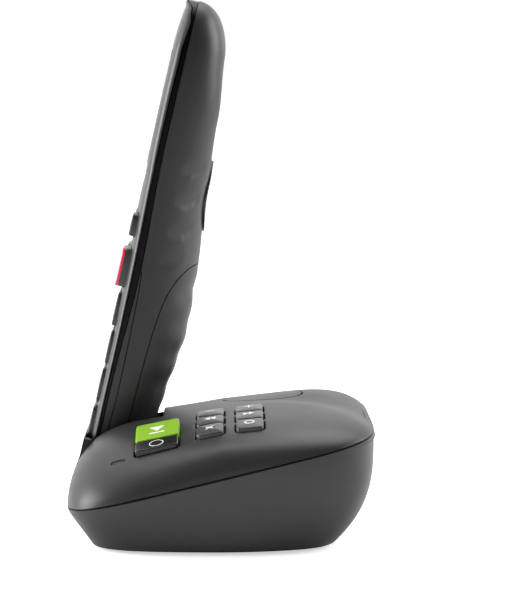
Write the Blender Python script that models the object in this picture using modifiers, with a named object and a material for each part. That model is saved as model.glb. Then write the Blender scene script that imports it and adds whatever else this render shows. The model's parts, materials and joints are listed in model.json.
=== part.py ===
"""Cordless telephone handset standing in a wedge-shaped answering base.

Frame: +X to the user's right, +Y to the rear, +Z up, origin at the middle of the base's footprint.
The handset has its own frame in the cradle: X across, Y rearward (depth), Z up along the handset.
"""
import math

import bmesh
import bpy
from mathutils import Matrix, Vector

MM = 0.001
GAP = 0.3 * MM                      # clearance between neighbouring pieces

# ---- base ----
BASE_HALF_WIDTH = 58.0 * MM
BASE_HALF_DEPTH = 50.0 * MM
BASE_CORNER = 5.5                   # power of the superellipse in plan
SEAM_HEIGHT = 24.7 * MM             # seam plane over the origin
SEAM_SLOPE = 0.243
DECK_RISE = 16.5 * MM               # deck above the seam plane, at the middle
DECK_RISE_SLOPE = -0.126
DECK_CROWN = 1.7                    # fall of the deck sideways, 1/m
DECK_TWIST = 59.0                   # how much faster it falls towards the front, 1/m2
ROLL_SIDE = (12.0, 1.9)             # powers of the roll-off at the sides, front and rear
ROLL_FRONT = (4.4, 2.1)
ROLL_REAR = (3.0, 1.1)
FOOT_HEIGHT = 0.8 * MM
FLOOR_SIDE, FLOOR_FRONT, FLOOR_REAR = 0.93, 0.81, 0.66    # footprint over girth
FLARE_FRONT, FLARE_REAR = 1.2, 4.0  # powers of the lower wall; the sides share the front one
BASE_WALL = 1.8 * MM
BASE_CELLS = 18

# ---- handset ----
HANDSET_X, HANDSET_Y, HANDSET_Z = -16.0 * MM, -41.1 * MM, 30.4 * MM
HANDSET_TILT = math.radians(13.0)
HANDSET_HALF_WIDTH = 26.0 * MM
HANDSET_BOTTOM, HANDSET_TOP = -12.0 * MM, 149.8 * MM
HANDSET_MIDDLE = (HANDSET_TOP + HANDSET_BOTTOM) / 2
HANDSET_HALF_LENGTH = (HANDSET_TOP - HANDSET_BOTTOM) / 2
HANDSET_CORNER = 5.0
FRONT_ROLL_SIDE, FRONT_ROLL_END = (4.0, 2.0), (14.0, 2.0)
REAR_ROLL_SIDE, REAR_ROLL_END = (3.0, 2.0), (12.0, 2.0)
HANDSET_WALL = 1.5 * MM
FRAME_WALL = 1.0 * MM
GRIP_PITCH, GRIP_WAVE, GRIP_START = 10.6 * MM, 0.22 * MM, 30.6 * MM

# curves along the handset: (height, depth) in millimetres, joined by smooth steps
FRONT_FACE = ((-12, -3.0), (24, -2.5), (32, -2.5), (50, -3.2), (88, -4.3), (100, -4.8), (150, -4.8))
FRONT_EDGE = ((-12, -0.7), (40, -0.7), (112, -1.8), (146, -1.0))
REAR_EDGE = ((-12, 0.6), (16, 0.7), (57, 1.8), (100, 0.5), (150, 0.6))
REAR_FACE = ((-12, 16.0), (12, 18.2), (43, 21.0), (60, 20.0), (90, 16.8), (112, 15.5), (133, 13.5),
             (150, 12.0))
COVER_SEAM = ((3.4, 8.7), (13, 9.0), (31, 9.6), (46, 10.8), (55, 12.9), (62, 16.9), (65.5, 22.5))
CHIN_SEAM = ((-12, 2.5), (6, 2.8), (16, 3.2), (37, 3.0), (50, 2.6), (58, 2.15))
COVER_HINGE = (4.6 * MM, 19.2 * MM)  # height and depth of the battery cover's hooks
COVER_SWING = math.radians(6.0)

# ---- keys: centre and size ----
KEY_GAP = 0.45 * MM
BASE_KEY_TRAVEL = 1.0 * MM
HANDSET_KEY_TRAVEL = 0.7 * MM
FUNCTION_COLUMNS = (19.6 * MM, 30.1 * MM, 40.6 * MM)
FUNCTION_ROWS = (-3.3 * MM, 9.4 * MM)
FUNCTION_KEY = (9.4 * MM, 8.9 * MM)
PLAY_KEY = (31.7 * MM, -20.3 * MM, 13.6 * MM, 14.2 * MM)
POWER_KEY = (42.7 * MM, -20.3 * MM, 7.4 * MM, 14.2 * MM)
BASE_KEY_DEPTH = 4.4 * MM
BASE_KEY_PROUD = 1.2 * MM
KEY_REACH = 5.0 * MM                # half the span over which a key's tilt is taken from the deck
DIGIT_ROWS = (5.0 * MM, 17.9 * MM, 30.8 * MM, 43.7 * MM)
DIGIT_COLUMNS = (-14.0 * MM, 0.0, 14.0 * MM)
DIGIT_KEY = (12.6 * MM, 11.2 * MM)
DIGIT_NAMES = (("star", "0", "hash"), ("7", "8", "9"), ("4", "5", "6"), ("1", "2", "3"))
DIGIT_PROUD = 1.0 * MM
KEY_FOOT = -1.7 * MM                # depth of the handset keys' undersides

# ---- cradle and charging contacts ----
WELL_CLEARANCE = 0.8 * MM
WELL_FRONT, WELL_REAR = -3.5 * MM, 19.8 * MM
WELL_WALL = 1.5 * MM
WELL_TOP = 8.0 * MM
WELL_RIM = 13.0 * MM                # the handset's sides run parallel above this height
CONTACT_X, CONTACT_DEPTH = 9.0 * MM, 5.0 * MM
CONTACT = (3.0 * MM, 5.0 * MM, 4.0 * MM)
CONTACT_SINK = 1.6 * MM             # the contact's middle below the cradle's floor
PAD = (5.0 * MM, 4.0 * MM, 2.0 * MM)
PAD_HEIGHT = -10.7 * MM

# ---- inside the base ----
SPEAKER_MARGIN = 0.5 * MM           # gap round the speaker's disc
LOUDSPEAKER = (14.3 * MM, 7.0 * MM, -7.2 * MM)       # radius, thickness, height under the deck
KEY_MAT, KEY_MAT_PLACE = (33 * MM, 44 * MM, 1.2 * MM), (34.0 * MM, -7.5 * MM, 27.2 * MM)
BASE_BOARD, BASE_BOARD_PLACE = (76 * MM, 42 * MM, 1.6 * MM), (0, 2 * MM, 6.0 * MM)
MICROPHONE_SLOT = (1.2 * MM, 4.6 * MM, 8 * MM)
MICROPHONE_CAN = (2.0 * MM, 2.2 * MM, -4.0 * MM)     # radius, thickness, height under the deck
SOCKETS = (("line_jack", -14 * MM, 9.6 * MM, 7.0 * MM), ("power_jack", 10 * MM, 7.0 * MM, 7.0 * MM))
SOCKET_LEVEL, SOCKET_FACE, SOCKET_DEPTH, SOCKET_WALL = 19.0 * MM, 42.6 * MM, 13.0 * MM, 1.5 * MM

# ---- underside of the base ----
FOOT_THICKNESS, FOOT_RADIUS = 1.5 * MM, 5.5 * MM
FOOT_X, FOOT_FRONT, FOOT_REAR = 36.0 * MM, -28.0 * MM, 24.0 * MM
SCREW_X, SCREW_Y = 20.0 * MM, 26.0 * MM
SCREW_RADIUS, SCREW_HOLE, SCREW_LENGTH, SCREW_LEVEL = 2.2 * MM, 2.6 * MM, 2.0 * MM, 2.4 * MM

# ---- inside the handset ----
DISPLAY_HEIGHT = 115 * MM
WINDOW, WINDOW_SINK = (38 * MM, 1.2 * MM, 35 * MM), 0.9 * MM
DISPLAY, DISPLAY_SINK = (36 * MM, 1.5 * MM, 33 * MM), 2.6 * MM
EARPIECE, EARPIECE_PLACE = (14.0 * MM, 1.2 * MM, 2.2 * MM), (0, -3.0 * MM, 140.5 * MM)
HANDSET_MAT, HANDSET_MAT_PLACE = (40 * MM, 0.7 * MM, 90 * MM), (0, -0.5 * MM, 48.5 * MM)
HANDSET_BOARD, HANDSET_BOARD_PLACE = (42 * MM, 1.2 * MM, 132 * MM), (0, 0.75 * MM, 68 * MM)
BATTERY_RADIUS, BATTERY_LENGTH = 5.2 * MM, 44.0 * MM
BATTERY_X, BATTERY_DEPTH, BATTERY_HEIGHT = 5.7 * MM, 10.4 * MM, 39.6 * MM
CUT = 12 * MM                       # depth of the cutters for openings in the front frame


def smooth_step(low, high, value):
    t = min(max((value - low) / (high - low), 0.0), 1.0)
    return t * t * (3 - 2 * t)


def along(curve, height):
    """Depth at a height on one of the handset's curves, in metres."""
    place = height / MM
    for (h0, d0), (h1, d1) in zip(curve, curve[1:]):
        if place <= h1:
            return (d0 + (d1 - d0) * smooth_step(h0, h1, place)) * MM
    return curve[-1][1] * MM


# ---------------------------------------------------------------- materials and objects

def material(name, color, roughness, metallic=0.0):
    made = bpy.data.materials.new(name)
    made.use_nodes = True
    shader = made.node_tree.nodes["Principled BSDF"]
    shader.inputs["Base Color"].default_value = (*color, 1.0)
    shader.inputs["Roughness"].default_value = roughness
    shader.inputs["Metallic"].default_value = metallic
    return made


def link(name, mesh, look, parent=None, collection="cordless_phone"):
    piece = bpy.data.objects.new(name, mesh)
    bpy.data.collections[collection].objects.link(piece)
    if look:
        mesh.materials.append(look)
    piece.parent = parent
    return piece


def empty(name, place, parent=None, turn=(0.0, 0.0, 0.0)):
    holder = link(name, None, None, parent)
    holder.location = place
    holder.rotation_euler = turn
    return holder


def hide(cutter):
    cutter.hide_render = True
    cutter.display_type = "WIRE"
    return cutter


def boolean(piece, cutter, operation="DIFFERENCE"):
    cut = piece.modifiers.new(operation.title(), "BOOLEAN")
    cut.operation = operation
    cut.object = hide(cutter)


def shade(mesh, angle=35):
    mesh.shade_smooth()
    mesh.set_sharp_from_angle(angle=math.radians(angle))


def box_mesh(name, size):
    bm = bmesh.new()
    bmesh.ops.create_cube(bm, size=1.0, matrix=Matrix.Diagonal((*size, 1.0)))
    mesh = bpy.data.meshes.new(name)
    bm.to_mesh(mesh)
    bm.free()
    return mesh


def box(name, size, place, look, parent=None, bevel=0.0, collection="cordless_phone"):
    piece = link(name, box_mesh(name, size), look, parent, collection)
    piece.location = place
    if bevel:
        rounding = piece.modifiers.new("Bevel", "BEVEL")
        rounding.width = bevel
        rounding.segments = 1
    return piece


def cylinder(name, radius, length, place, look, parent=None, turn=(0, 0, 0), sides=24,
             collection="cordless_phone"):
    bm = bmesh.new()
    bmesh.ops.create_cone(bm, cap_ends=True, segments=sides, radius1=radius, radius2=radius,
                          depth=length)
    mesh = bpy.data.meshes.new(name)
    bm.to_mesh(mesh)
    bm.free()
    shade(mesh)
    piece = link(name, mesh, look, parent, collection)
    piece.location = place
    piece.rotation_euler = turn
    return piece


def box_cutter(name, size, place, parent=None):
    return box(name, size, place, None, parent, collection="cutters")


def prism_cutter(name, outline, low, high, parent, across=False):
    """Cutter with an outline in the handset's frame. The outline's points are (depth, height), or
    (x, height) with `across`, and it is extruded from `low` to `high` along the remaining axis."""
    def corner(first, height):
        return (first, low, height) if across else (low, first, height)
    bm = bmesh.new()
    face = bm.faces.new([bm.verts.new(corner(*point)) for point in outline])
    grown = bmesh.ops.extrude_face_region(bm, geom=[face])
    moved = [item for item in grown["geom"] if isinstance(item, bmesh.types.BMVert)]
    length = high - low
    bmesh.ops.translate(bm, verts=moved, vec=(0, length, 0) if across else (length, 0, 0))
    bmesh.ops.recalc_face_normals(bm, faces=bm.faces)
    mesh = bpy.data.meshes.new(name)
    bm.to_mesh(mesh)
    bm.free()
    return hide(link(name, mesh, None, parent, "cutters"))


# ---------------------------------------------------------------- swept shell surfaces

def roll_off(radius, power):
    rise, root = power
    return max(1.0 - radius ** rise, 0.0) ** (1.0 / root)


def blend(side, end, share):
    return tuple(a + (b - a) * share for a, b in zip(side, end))


def plan_direction(a, b, corner):
    """Ring radius and unit superellipse point of a cell corner on the square from -1 to 1."""
    reach = max(abs(a), abs(b))
    if reach < 1e-9:
        return 0.0, 0.0, 0.0
    a, b = a / reach, b / reach
    size = (abs(a) ** corner + abs(b) ** corner) ** (1.0 / corner)
    return reach, a / size, b / size


def sheet(name, cells, corner, place, look, parent, flip=False, wall=0.0):
    """Open sheet of quads on concentric superellipse rings; a Solidify makes it a shell."""
    across, lengthways = cells
    bm = bmesh.new()
    rows = []
    for j in range(lengthways + 1):
        row = []
        for i in range(across + 1):
            reach, px, py = plan_direction(2 * i / across - 1, 2 * j / lengthways - 1, corner)
            row.append(bm.verts.new(place(reach, px, py)))
        rows.append(row)
    for lower, upper in zip(rows, rows[1:]):
        for i in range(across):
            ring = [lower[i], lower[i + 1], upper[i + 1], upper[i]]
            bm.faces.new(reversed(ring) if flip else ring)
    mesh = bpy.data.meshes.new(name)
    bm.to_mesh(mesh)
    bm.free()
    shade(mesh)
    piece = link(name, mesh, look, parent)
    if wall:
        shell = piece.modifiers.new("Solidify", "SOLIDIFY")
        shell.thickness = wall
        shell.offset = -1.0
    return piece


def seam_height(y):
    return SEAM_HEIGHT + SEAM_SLOPE * y


def deck_height(x, y):
    px, py = x / BASE_HALF_WIDTH, y / BASE_HALF_DEPTH
    radius = min((abs(px) ** BASE_CORNER + abs(py) ** BASE_CORNER) ** (1 / BASE_CORNER), 1.0)
    share = py * py / max(px * px + py * py, 1e-9)
    power = blend(ROLL_SIDE, ROLL_REAR if py > 0 else ROLL_FRONT, share)
    crown = DECK_CROWN + DECK_TWIST * max(-y, 0.0)
    rise = DECK_RISE + DECK_RISE_SLOPE * y - crown * x * x
    return seam_height(y) + rise * roll_off(radius, power)


def deck_tilt(x, y, step=KEY_REACH):
    """Turns about X and Y that lay a piece on the deck."""
    rise_y = (deck_height(x, y + step) - deck_height(x, y - step)) / (2 * step)
    rise_x = (deck_height(x + step, y) - deck_height(x - step, y)) / (2 * step)
    return math.atan(rise_y), -math.atan(rise_x), 0.0


def deck_point(reach, px, py):
    radius = 1.0 - (1.0 - reach) ** 1.8
    x, y = BASE_HALF_WIDTH * radius * px, BASE_HALF_DEPTH * radius * py
    return x, y, deck_height(x, y)


def footprint(px, py):
    share = py * py / (px * px + py * py)
    return blend((FLOOR_SIDE, FLARE_FRONT),
                 (FLOOR_REAR, FLARE_REAR) if py > 0 else (FLOOR_FRONT, FLARE_FRONT), share)


def hull_point(reach, px, py):
    """Lower shell: a flat floor out to the footprint, then the wall up to the seam."""
    if reach < 1e-9:
        return 0.0, 0.0, FOOT_HEIGHT
    floor, power = footprint(px, py)
    low = 1.0 - max(reach - 0.4, 0.0) / 0.6
    radius = floor * reach / 0.4 if reach < 0.4 else 1.0 - (1.0 - floor) * low ** power
    x, y = BASE_HALF_WIDTH * radius * px, BASE_HALF_DEPTH * radius * py
    return x, y, seam_height(y) - low * (seam_height(y) - FOOT_HEIGHT)


def handset_place(face, edge, side, end, wave=0.0):
    def place(reach, px, py):
        radius = 1.0 - (1.0 - reach) ** 2.0
        x = HANDSET_HALF_WIDTH * radius * px
        height = HANDSET_MIDDLE + HANDSET_HALF_LENGTH * radius * py
        share = py * py / max(px * px + py * py, 1e-9)
        start = along(edge, height)
        depth = along(face, height) - start
        if wave and height < COVER_SEAM[-2][0] * MM:
            depth += wave * math.sin(2 * math.pi * (GRIP_START - height) / GRIP_PITCH)
        return x, start + depth * roll_off(radius, blend(side, end, share)), height
    return place


# ---------------------------------------------------------------- base

def base_shells(looks):
    cover = sheet("base_top_cover", (BASE_CELLS, BASE_CELLS), BASE_CORNER, deck_point,
                  looks["shell"], None, wall=BASE_WALL)
    bottom = sheet("base_bottom_shell", (BASE_CELLS, BASE_CELLS), BASE_CORNER, hull_point,
                   looks["shell"], None, flip=True, wall=BASE_WALL)
    block = 160.0 * MM
    for piece, side in ((cover, -1), (bottom, 1)):        # both rims are trimmed along the seam
        seam = empty(f"{piece.name}_seam", (0, 0, SEAM_HEIGHT - side * GAP / 2),
                     turn=(math.atan(SEAM_SLOPE), 0, 0))
        boolean(piece, box_cutter(f"{piece.name}_trim", (block, block, block),
                                  (0, 0, side * block / 2), seam))
    return cover, bottom


OPENING_TOP = 60.0 * MM


def well_outline(top):
    """The handset's foot seen from the front, with clearance, and straight sides up to `top`."""
    half, length = HANDSET_HALF_WIDTH + WELL_CLEARANCE, HANDSET_HALF_LENGTH + WELL_CLEARANCE
    half_points = []
    for k in range(9):
        level = HANDSET_MIDDLE - length + (WELL_RIM - HANDSET_MIDDLE + length) * (k / 8) ** 2
        reach = min(abs(level - HANDSET_MIDDLE) / length, 1.0)
        half_points.append((half * (1 - reach ** HANDSET_CORNER) ** (1 / HANDSET_CORNER), level))
    half_points[0] = (half_points[1][0] / 2, half_points[0][1])
    half_points.append((half_points[-1][0], top))
    return half_points + [(-x, level) for x, level in reversed(half_points)]


def cradle(cover, looks, stand):
    """Opening for the handset and the tub under it; the cover's own front wall closes the front."""
    boolean(cover, prism_cutter("cradle_opening", well_outline(OPENING_TOP), WELL_FRONT, WELL_REAR,
                                stand, across=True))
    floor = HANDSET_BOTTOM - WELL_CLEARANCE
    half = HANDSET_HALF_WIDTH + WELL_CLEARANCE
    depth = WELL_REAR - WELL_FRONT + WELL_WALL
    tub = box("cradle_well", (2 * half, depth, WELL_TOP - floor + WELL_WALL),
              (0, WELL_FRONT + depth / 2, (WELL_TOP + floor - WELL_WALL) / 2), looks["cradle"], stand)
    boolean(tub, prism_cutter("well_space", well_outline(OPENING_TOP), WELL_FRONT - 20.0 * MM,
                              WELL_REAR, stand, across=True))
    under = sheet("under_deck", (BASE_CELLS, BASE_CELLS), BASE_CORNER, deck_point, None, None)
    thick = under.modifiers.new("Solidify", "SOLIDIFY")
    thick.thickness = 16.0 * MM
    thick.offset = 1.0 - 2.0 * (BASE_WALL + 2 * GAP) / thick.thickness
    bpy.data.collections["cordless_phone"].objects.unlink(under)
    bpy.data.collections["cutters"].objects.link(under)
    boolean(tub, under)
    for side, name in ((-1, "left"), (1, "right")):
        pin_x = side * CONTACT_X
        slot = (CONTACT[0] + 2 * GAP, CONTACT[1] + 2 * GAP, CONTACT[2] + 2.0 * MM)
        boolean(tub, box_cutter(f"pin_slot_{name}", slot, (pin_x, CONTACT_DEPTH, floor - WELL_WALL / 2),
                                stand))
        box(f"charge_contact_{name}", CONTACT, (pin_x, CONTACT_DEPTH, floor - CONTACT_SINK),
            looks["contact"], stand, 0.4 * MM)
    return tub


def base_keys(cover, looks):
    """Keys pressed square to the deck; each empty stands on the deck with Z along the travel."""
    layout = [("play_key", PLAY_KEY, "play"), ("power_key", POWER_KEY, "power")]
    for row, y in zip(("front", "rear"), FUNCTION_ROWS):
        for column, x in zip(("left", "middle", "right"), FUNCTION_COLUMNS):
            layout.append((f"{row}_{column}_key", (x, y, *FUNCTION_KEY), "function_key"))
    pair_x, pair_y = (PLAY_KEY[0] + POWER_KEY[0]) / 2, PLAY_KEY[1]
    pair_tilt = deck_tilt(pair_x, pair_y, 2 * KEY_REACH)
    for name, (x, y, width, length), look in layout:
        tilt, level = deck_tilt(x, y), deck_height(x, y)
        if look in ("play", "power"):        # both tops lie in one plane
            tilt = pair_tilt
            level = deck_height(pair_x, pair_y) - math.tan(tilt[1]) * (x - pair_x)
        stand = empty(f"{name}_axis", (x, y, level), turn=tilt)
        stand["travel"] = BASE_KEY_TRAVEL
        box(name, (width, length, BASE_KEY_DEPTH), (0, 0, BASE_KEY_PROUD - BASE_KEY_DEPTH / 2),
            looks[look], stand, 0.6 * MM)
        if look == "power":
            continue
        wide = width + 2 * KEY_GAP
        shift = 0.0
        if look == "play":                   # one opening takes the play and the power key
            wide = PLAY_KEY[2] + POWER_KEY[2] + 4 * KEY_GAP
            shift = (POWER_KEY[2] + KEY_GAP) / 2
        boolean(cover, box_cutter(f"{name}_opening", (wide, length + 2 * KEY_GAP, 12 * MM),
                                  (shift, 0, 0), stand))


SPEAKER = (-16.0 * MM, 14.4 * MM, 13.3 * MM)
MICROPHONE = (45.2 * MM, -32.7 * MM)


def base_inside(cover, bottom, looks):
    speaker_x, speaker_y, radius = SPEAKER
    stand = empty("speaker_axis", (speaker_x, speaker_y, deck_height(speaker_x, speaker_y)),
                  turn=deck_tilt(speaker_x, speaker_y))
    boolean(cover, cylinder("speaker_opening", radius + SPEAKER_MARGIN, 14 * MM, (0, 0, 0), None, stand,
                            sides=40, collection="cutters"))
    disc = sheet("speaker_cover", (BASE_CELLS, BASE_CELLS), BASE_CORNER, deck_point,
                 looks["shell"], None, wall=BASE_WALL)
    boolean(disc, cylinder("speaker_disc", radius, 14 * MM, (0, 0, 0), None, stand, sides=40,
                           collection="cutters"), "INTERSECT")
    cylinder("base_speaker", LOUDSPEAKER[0], LOUDSPEAKER[1], (0, 0, LOUDSPEAKER[2]), looks["steel"], stand,
             sides=28)
    mat = box("base_key_mat", KEY_MAT, KEY_MAT_PLACE, looks["rubber"], None)
    mat.rotation_euler = (math.atan(SEAM_SLOPE), 0, 0)
    box("base_board", BASE_BOARD, BASE_BOARD_PLACE, looks["board"], None)
    mic_x, mic_y = MICROPHONE
    mic = empty("microphone_axis", (mic_x, mic_y, deck_height(mic_x, mic_y)),
                turn=deck_tilt(mic_x, mic_y))
    boolean(cover, box_cutter("microphone_slot", MICROPHONE_SLOT, (0, 0, 0), mic))
    cylinder("base_microphone", MICROPHONE_CAN[0], MICROPHONE_CAN[1], (0, 0, MICROPHONE_CAN[2]),
             looks["steel"], mic, sides=16)
    middle = SOCKET_FACE - SOCKET_DEPTH / 2
    for name, x, width, height in SOCKETS:
        boolean(bottom, box_cutter(f"{name}_window", (width, 20 * MM, height),
                                   (x, SOCKET_FACE + 5 * MM, SOCKET_LEVEL)))
        housing = box(name, (width + 2 * SOCKET_WALL, SOCKET_DEPTH, height + 2 * SOCKET_WALL),
                      (x, middle, SOCKET_LEVEL), looks["socket"], None)
        boolean(housing, box_cutter(f"{name}_cavity", (width, SOCKET_DEPTH, height),
                                    (x, middle + SOCKET_WALL, SOCKET_LEVEL)))


def base_underside(bottom, looks):
    for row, y in (("front", FOOT_FRONT), ("rear", FOOT_REAR)):
        for side, x in (("left", -FOOT_X), ("right", FOOT_X)):
            name = f"{row}_{side}"
            cylinder(f"foot_{name}", FOOT_RADIUS, FOOT_THICKNESS, (x, y, FOOT_THICKNESS / 2),
                     looks["rubber"], sides=20)
            boolean(bottom, cylinder(f"foot_seat_{name}", FOOT_RADIUS + GAP, 2 * (FOOT_THICKNESS + GAP),
                                     (x, y, 0), None, sides=20, collection="cutters"))
    for name, x in (("left", -SCREW_X), ("right", SCREW_X)):
        boolean(bottom, cylinder(f"screw_hole_{name}", SCREW_HOLE, 8 * MM, (x, SCREW_Y, 0), None,
                                 sides=16, collection="cutters"))
        cylinder(f"base_screw_{name}", SCREW_RADIUS, SCREW_LENGTH, (x, SCREW_Y, SCREW_LEVEL),
                 looks["steel"], sides=16)


# ---------------------------------------------------------------- handset

def handset_shells(stand, looks):
    front = sheet("handset_front_frame", (14, 34), HANDSET_CORNER,
                  handset_place(FRONT_FACE, FRONT_EDGE, FRONT_ROLL_SIDE, FRONT_ROLL_END),
                  looks["frame"], stand, wall=FRAME_WALL)
    rear_place = handset_place(REAR_FACE, REAR_EDGE, REAR_ROLL_SIDE, REAR_ROLL_END, GRIP_WAVE)

    def rear_sheet(name, look):
        return sheet(name, (14, 34), HANDSET_CORNER, rear_place, looks[look], stand, True,
                     HANDSET_WALL)
    shell = rear_sheet("handset_rear_shell", "shell")
    chin = rear_sheet("chin_frame", "shell")
    cover = rear_sheet("battery_cover", "shell")
    grille = rear_sheet("rear_insert", "shell")
    far, wide = 40 * MM, 40 * MM

    def chin_outline(edge):
        seam = [(d * MM + edge, h * MM) for h, d in CHIN_SEAM]
        (first, _), (last, top) = seam[0], seam[-1]
        return [(-far, -far), (first, -far), *seam[:-1], (last, top + edge), (-far, top + edge)]
    boolean(shell, prism_cutter("chin_space", chin_outline(GAP / 2), -wide, wide, stand))
    boolean(chin, prism_cutter("chin_slab", chin_outline(-GAP / 2), -wide, wide, stand), "INTERSECT")

    def seam_outline(edge):
        (low, low_depth), *upper = COVER_SEAM
        seam = [(d * MM + edge * 0.9, h * MM - edge * 0.7) for h, d in upper]
        # the lower edge of the cover follows the slope of the deck, just inside the cradle
        return [(low_depth * MM + edge, low * MM + edge), *seam, (24.0 * MM + far, 24.0 * MM),
                (27.0 * MM, 14.0 * MM + edge)]
    boolean(shell, prism_cutter("cover_space", seam_outline(-GAP / 2), -wide, wide, stand))
    boolean(cover, prism_cutter("cover_slab", seam_outline(GAP / 2), -wide, wide, stand), "INTERSECT")
    grille_height, radius = 86.5 * MM, 12.0 * MM
    turn = (math.radians(90), 0, 0)
    boolean(shell, cylinder("insert_hole", radius + GAP, 20 * MM, (0, 20 * MM, grille_height), None,
                            stand, turn, 36, "cutters"))
    boolean(grille, cylinder("insert_disc", radius, 20 * MM, (0, 20 * MM, grille_height), None,
                             stand, turn, 36, "cutters"), "INTERSECT")
    hinge = empty("cover_hinge", (0, COVER_HINGE[1], COVER_HINGE[0]), stand)
    hinge["swing"] = COVER_SWING
    cover.parent = hinge
    cover.location = (0, -COVER_HINGE[1], -COVER_HINGE[0])
    return front, shell


def side_band(stand, looks):
    """Dark strip round the handset between the front frame and the rear shell."""
    steps, inset = 72, 0.4 * MM
    bm = bmesh.new()
    rings = []
    for k in range(steps):
        angle = 2 * math.pi * k / steps
        turn_x, turn_y = math.cos(angle), math.sin(angle)
        size = (abs(turn_x) ** HANDSET_CORNER + abs(turn_y) ** HANDSET_CORNER) ** (-1 / HANDSET_CORNER)
        x = (HANDSET_HALF_WIDTH - inset) * turn_x * size
        height = HANDSET_MIDDLE + (HANDSET_HALF_LENGTH - inset) * turn_y * size
        front, rear = along(FRONT_EDGE, height) + 2.5 * GAP, along(REAR_EDGE, height) - GAP
        rings.append((bm.verts.new((x, front, height)), bm.verts.new((x, rear, height))))
    for (front, rear), (next_front, next_rear) in zip(rings, rings[1:] + rings[:1]):
        bm.faces.new((front, next_front, next_rear, rear))
    bmesh.ops.recalc_face_normals(bm, faces=bm.faces)
    mesh = bpy.data.meshes.new("side_band")
    bm.to_mesh(mesh)
    bm.free()
    shade(mesh)
    band = link("side_band", mesh, looks["band"], stand)
    shell = band.modifiers.new("Solidify", "SOLIDIFY")
    shell.thickness = 1.4 * MM
    shell.offset = -1.0


def handset_keys(front, stand, looks):
    layout = []
    for names, height in zip(DIGIT_NAMES, DIGIT_ROWS):
        for name, x in zip(names, DIGIT_COLUMNS):
            layout.append((f"digit_key_{name}", x, height, *DIGIT_KEY, DIGIT_PROUD, "digit"))
    layout += [("call_key", -13.2 * MM, 58.0 * MM, 19.0 * MM, 12.8 * MM, 1.8 * MM, "call"),
               ("end_key", 13.2 * MM, 58.0 * MM, 19.0 * MM, 12.8 * MM, 2.6 * MM, "end"),
               ("left_side_key", -17.4 * MM, 72.6 * MM, 10.6 * MM, 7.6 * MM, 1.1 * MM, "digit"),
               ("right_side_key", 17.4 * MM, 72.6 * MM, 10.6 * MM, 7.6 * MM, 1.1 * MM, "digit"),
               ("navigation_key", 0.0, 76.4 * MM, 19.6 * MM, 13.4 * MM, 0.3 * MM, "navigation"),
               ("left_display_key", -12.4 * MM, 90.2 * MM, 15.4 * MM, 5.6 * MM, -0.5 * MM, "digit"),
               ("right_display_key", 12.4 * MM, 90.2 * MM, 15.4 * MM, 5.6 * MM, -0.5 * MM, "digit")]
    for name, x, height, width, length, proud, look in layout:
        face = along(FRONT_FACE, height) - proud
        depth = KEY_FOOT - face
        axis = empty(f"{name}_axis", (x, 0, height), stand)
        axis["travel"] = HANDSET_KEY_TRAVEL
        box(name, (width, depth, length), (0, face + depth / 2, 0), looks[look], axis, 0.5 * MM)
        boolean(front, box_cutter(f"{name}_opening",
                                  (width + 2 * KEY_GAP, 16 * MM, length + 2 * KEY_GAP),
                                  (0, 0, 0), axis))


def handset_inside(front, shell, stand, looks):
    face = along(FRONT_FACE, DISPLAY_HEIGHT)
    boolean(front, box_cutter("window_opening", (WINDOW[0] + 2 * GAP, CUT, WINDOW[2] + 2 * GAP),
                              (0, -3 * MM, DISPLAY_HEIGHT), stand))
    box("display_window", WINDOW, (0, face + WINDOW_SINK, DISPLAY_HEIGHT), looks["window"], stand,
        0.3 * MM)
    box("display_module", DISPLAY, (0, face + DISPLAY_SINK, DISPLAY_HEIGHT), looks["display"], stand)
    boolean(front, box_cutter("earpiece_slot", (EARPIECE[0] + 2 * GAP, CUT, EARPIECE[2] + 2 * GAP),
                              EARPIECE_PLACE, stand))
    box("earpiece", EARPIECE, EARPIECE_PLACE, looks["steel"], stand, 0.3 * MM)
    box("handset_key_mat", HANDSET_MAT, HANDSET_MAT_PLACE, looks["rubber"], stand)
    box("handset_board", HANDSET_BOARD, HANDSET_BOARD_PLACE, looks["board"], stand)
    for side, name in ((-1, "left"), (1, "right")):
        cylinder(f"battery_{name}", BATTERY_RADIUS, BATTERY_LENGTH,
                 (side * BATTERY_X, BATTERY_DEPTH, BATTERY_HEIGHT), looks["battery"], stand, sides=20)
        pad_place = (side * CONTACT_X, CONTACT_DEPTH, PAD_HEIGHT)
        slot = (PAD[0] + 2 * GAP, PAD[1] + 2 * GAP, 8.0 * MM)
        boolean(shell, box_cutter(f"pad_slot_{name}", slot, pad_place, stand))
        box(f"charge_pad_{name}", PAD, pad_place, looks["contact"], stand)


def clear_scene():
    for item in list(bpy.data.objects):
        bpy.data.objects.remove(item, do_unlink=True)
    for name in ("cordless_phone", "cutters"):
        group = bpy.data.collections.new(name)
        bpy.context.scene.collection.children.link(group)


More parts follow.
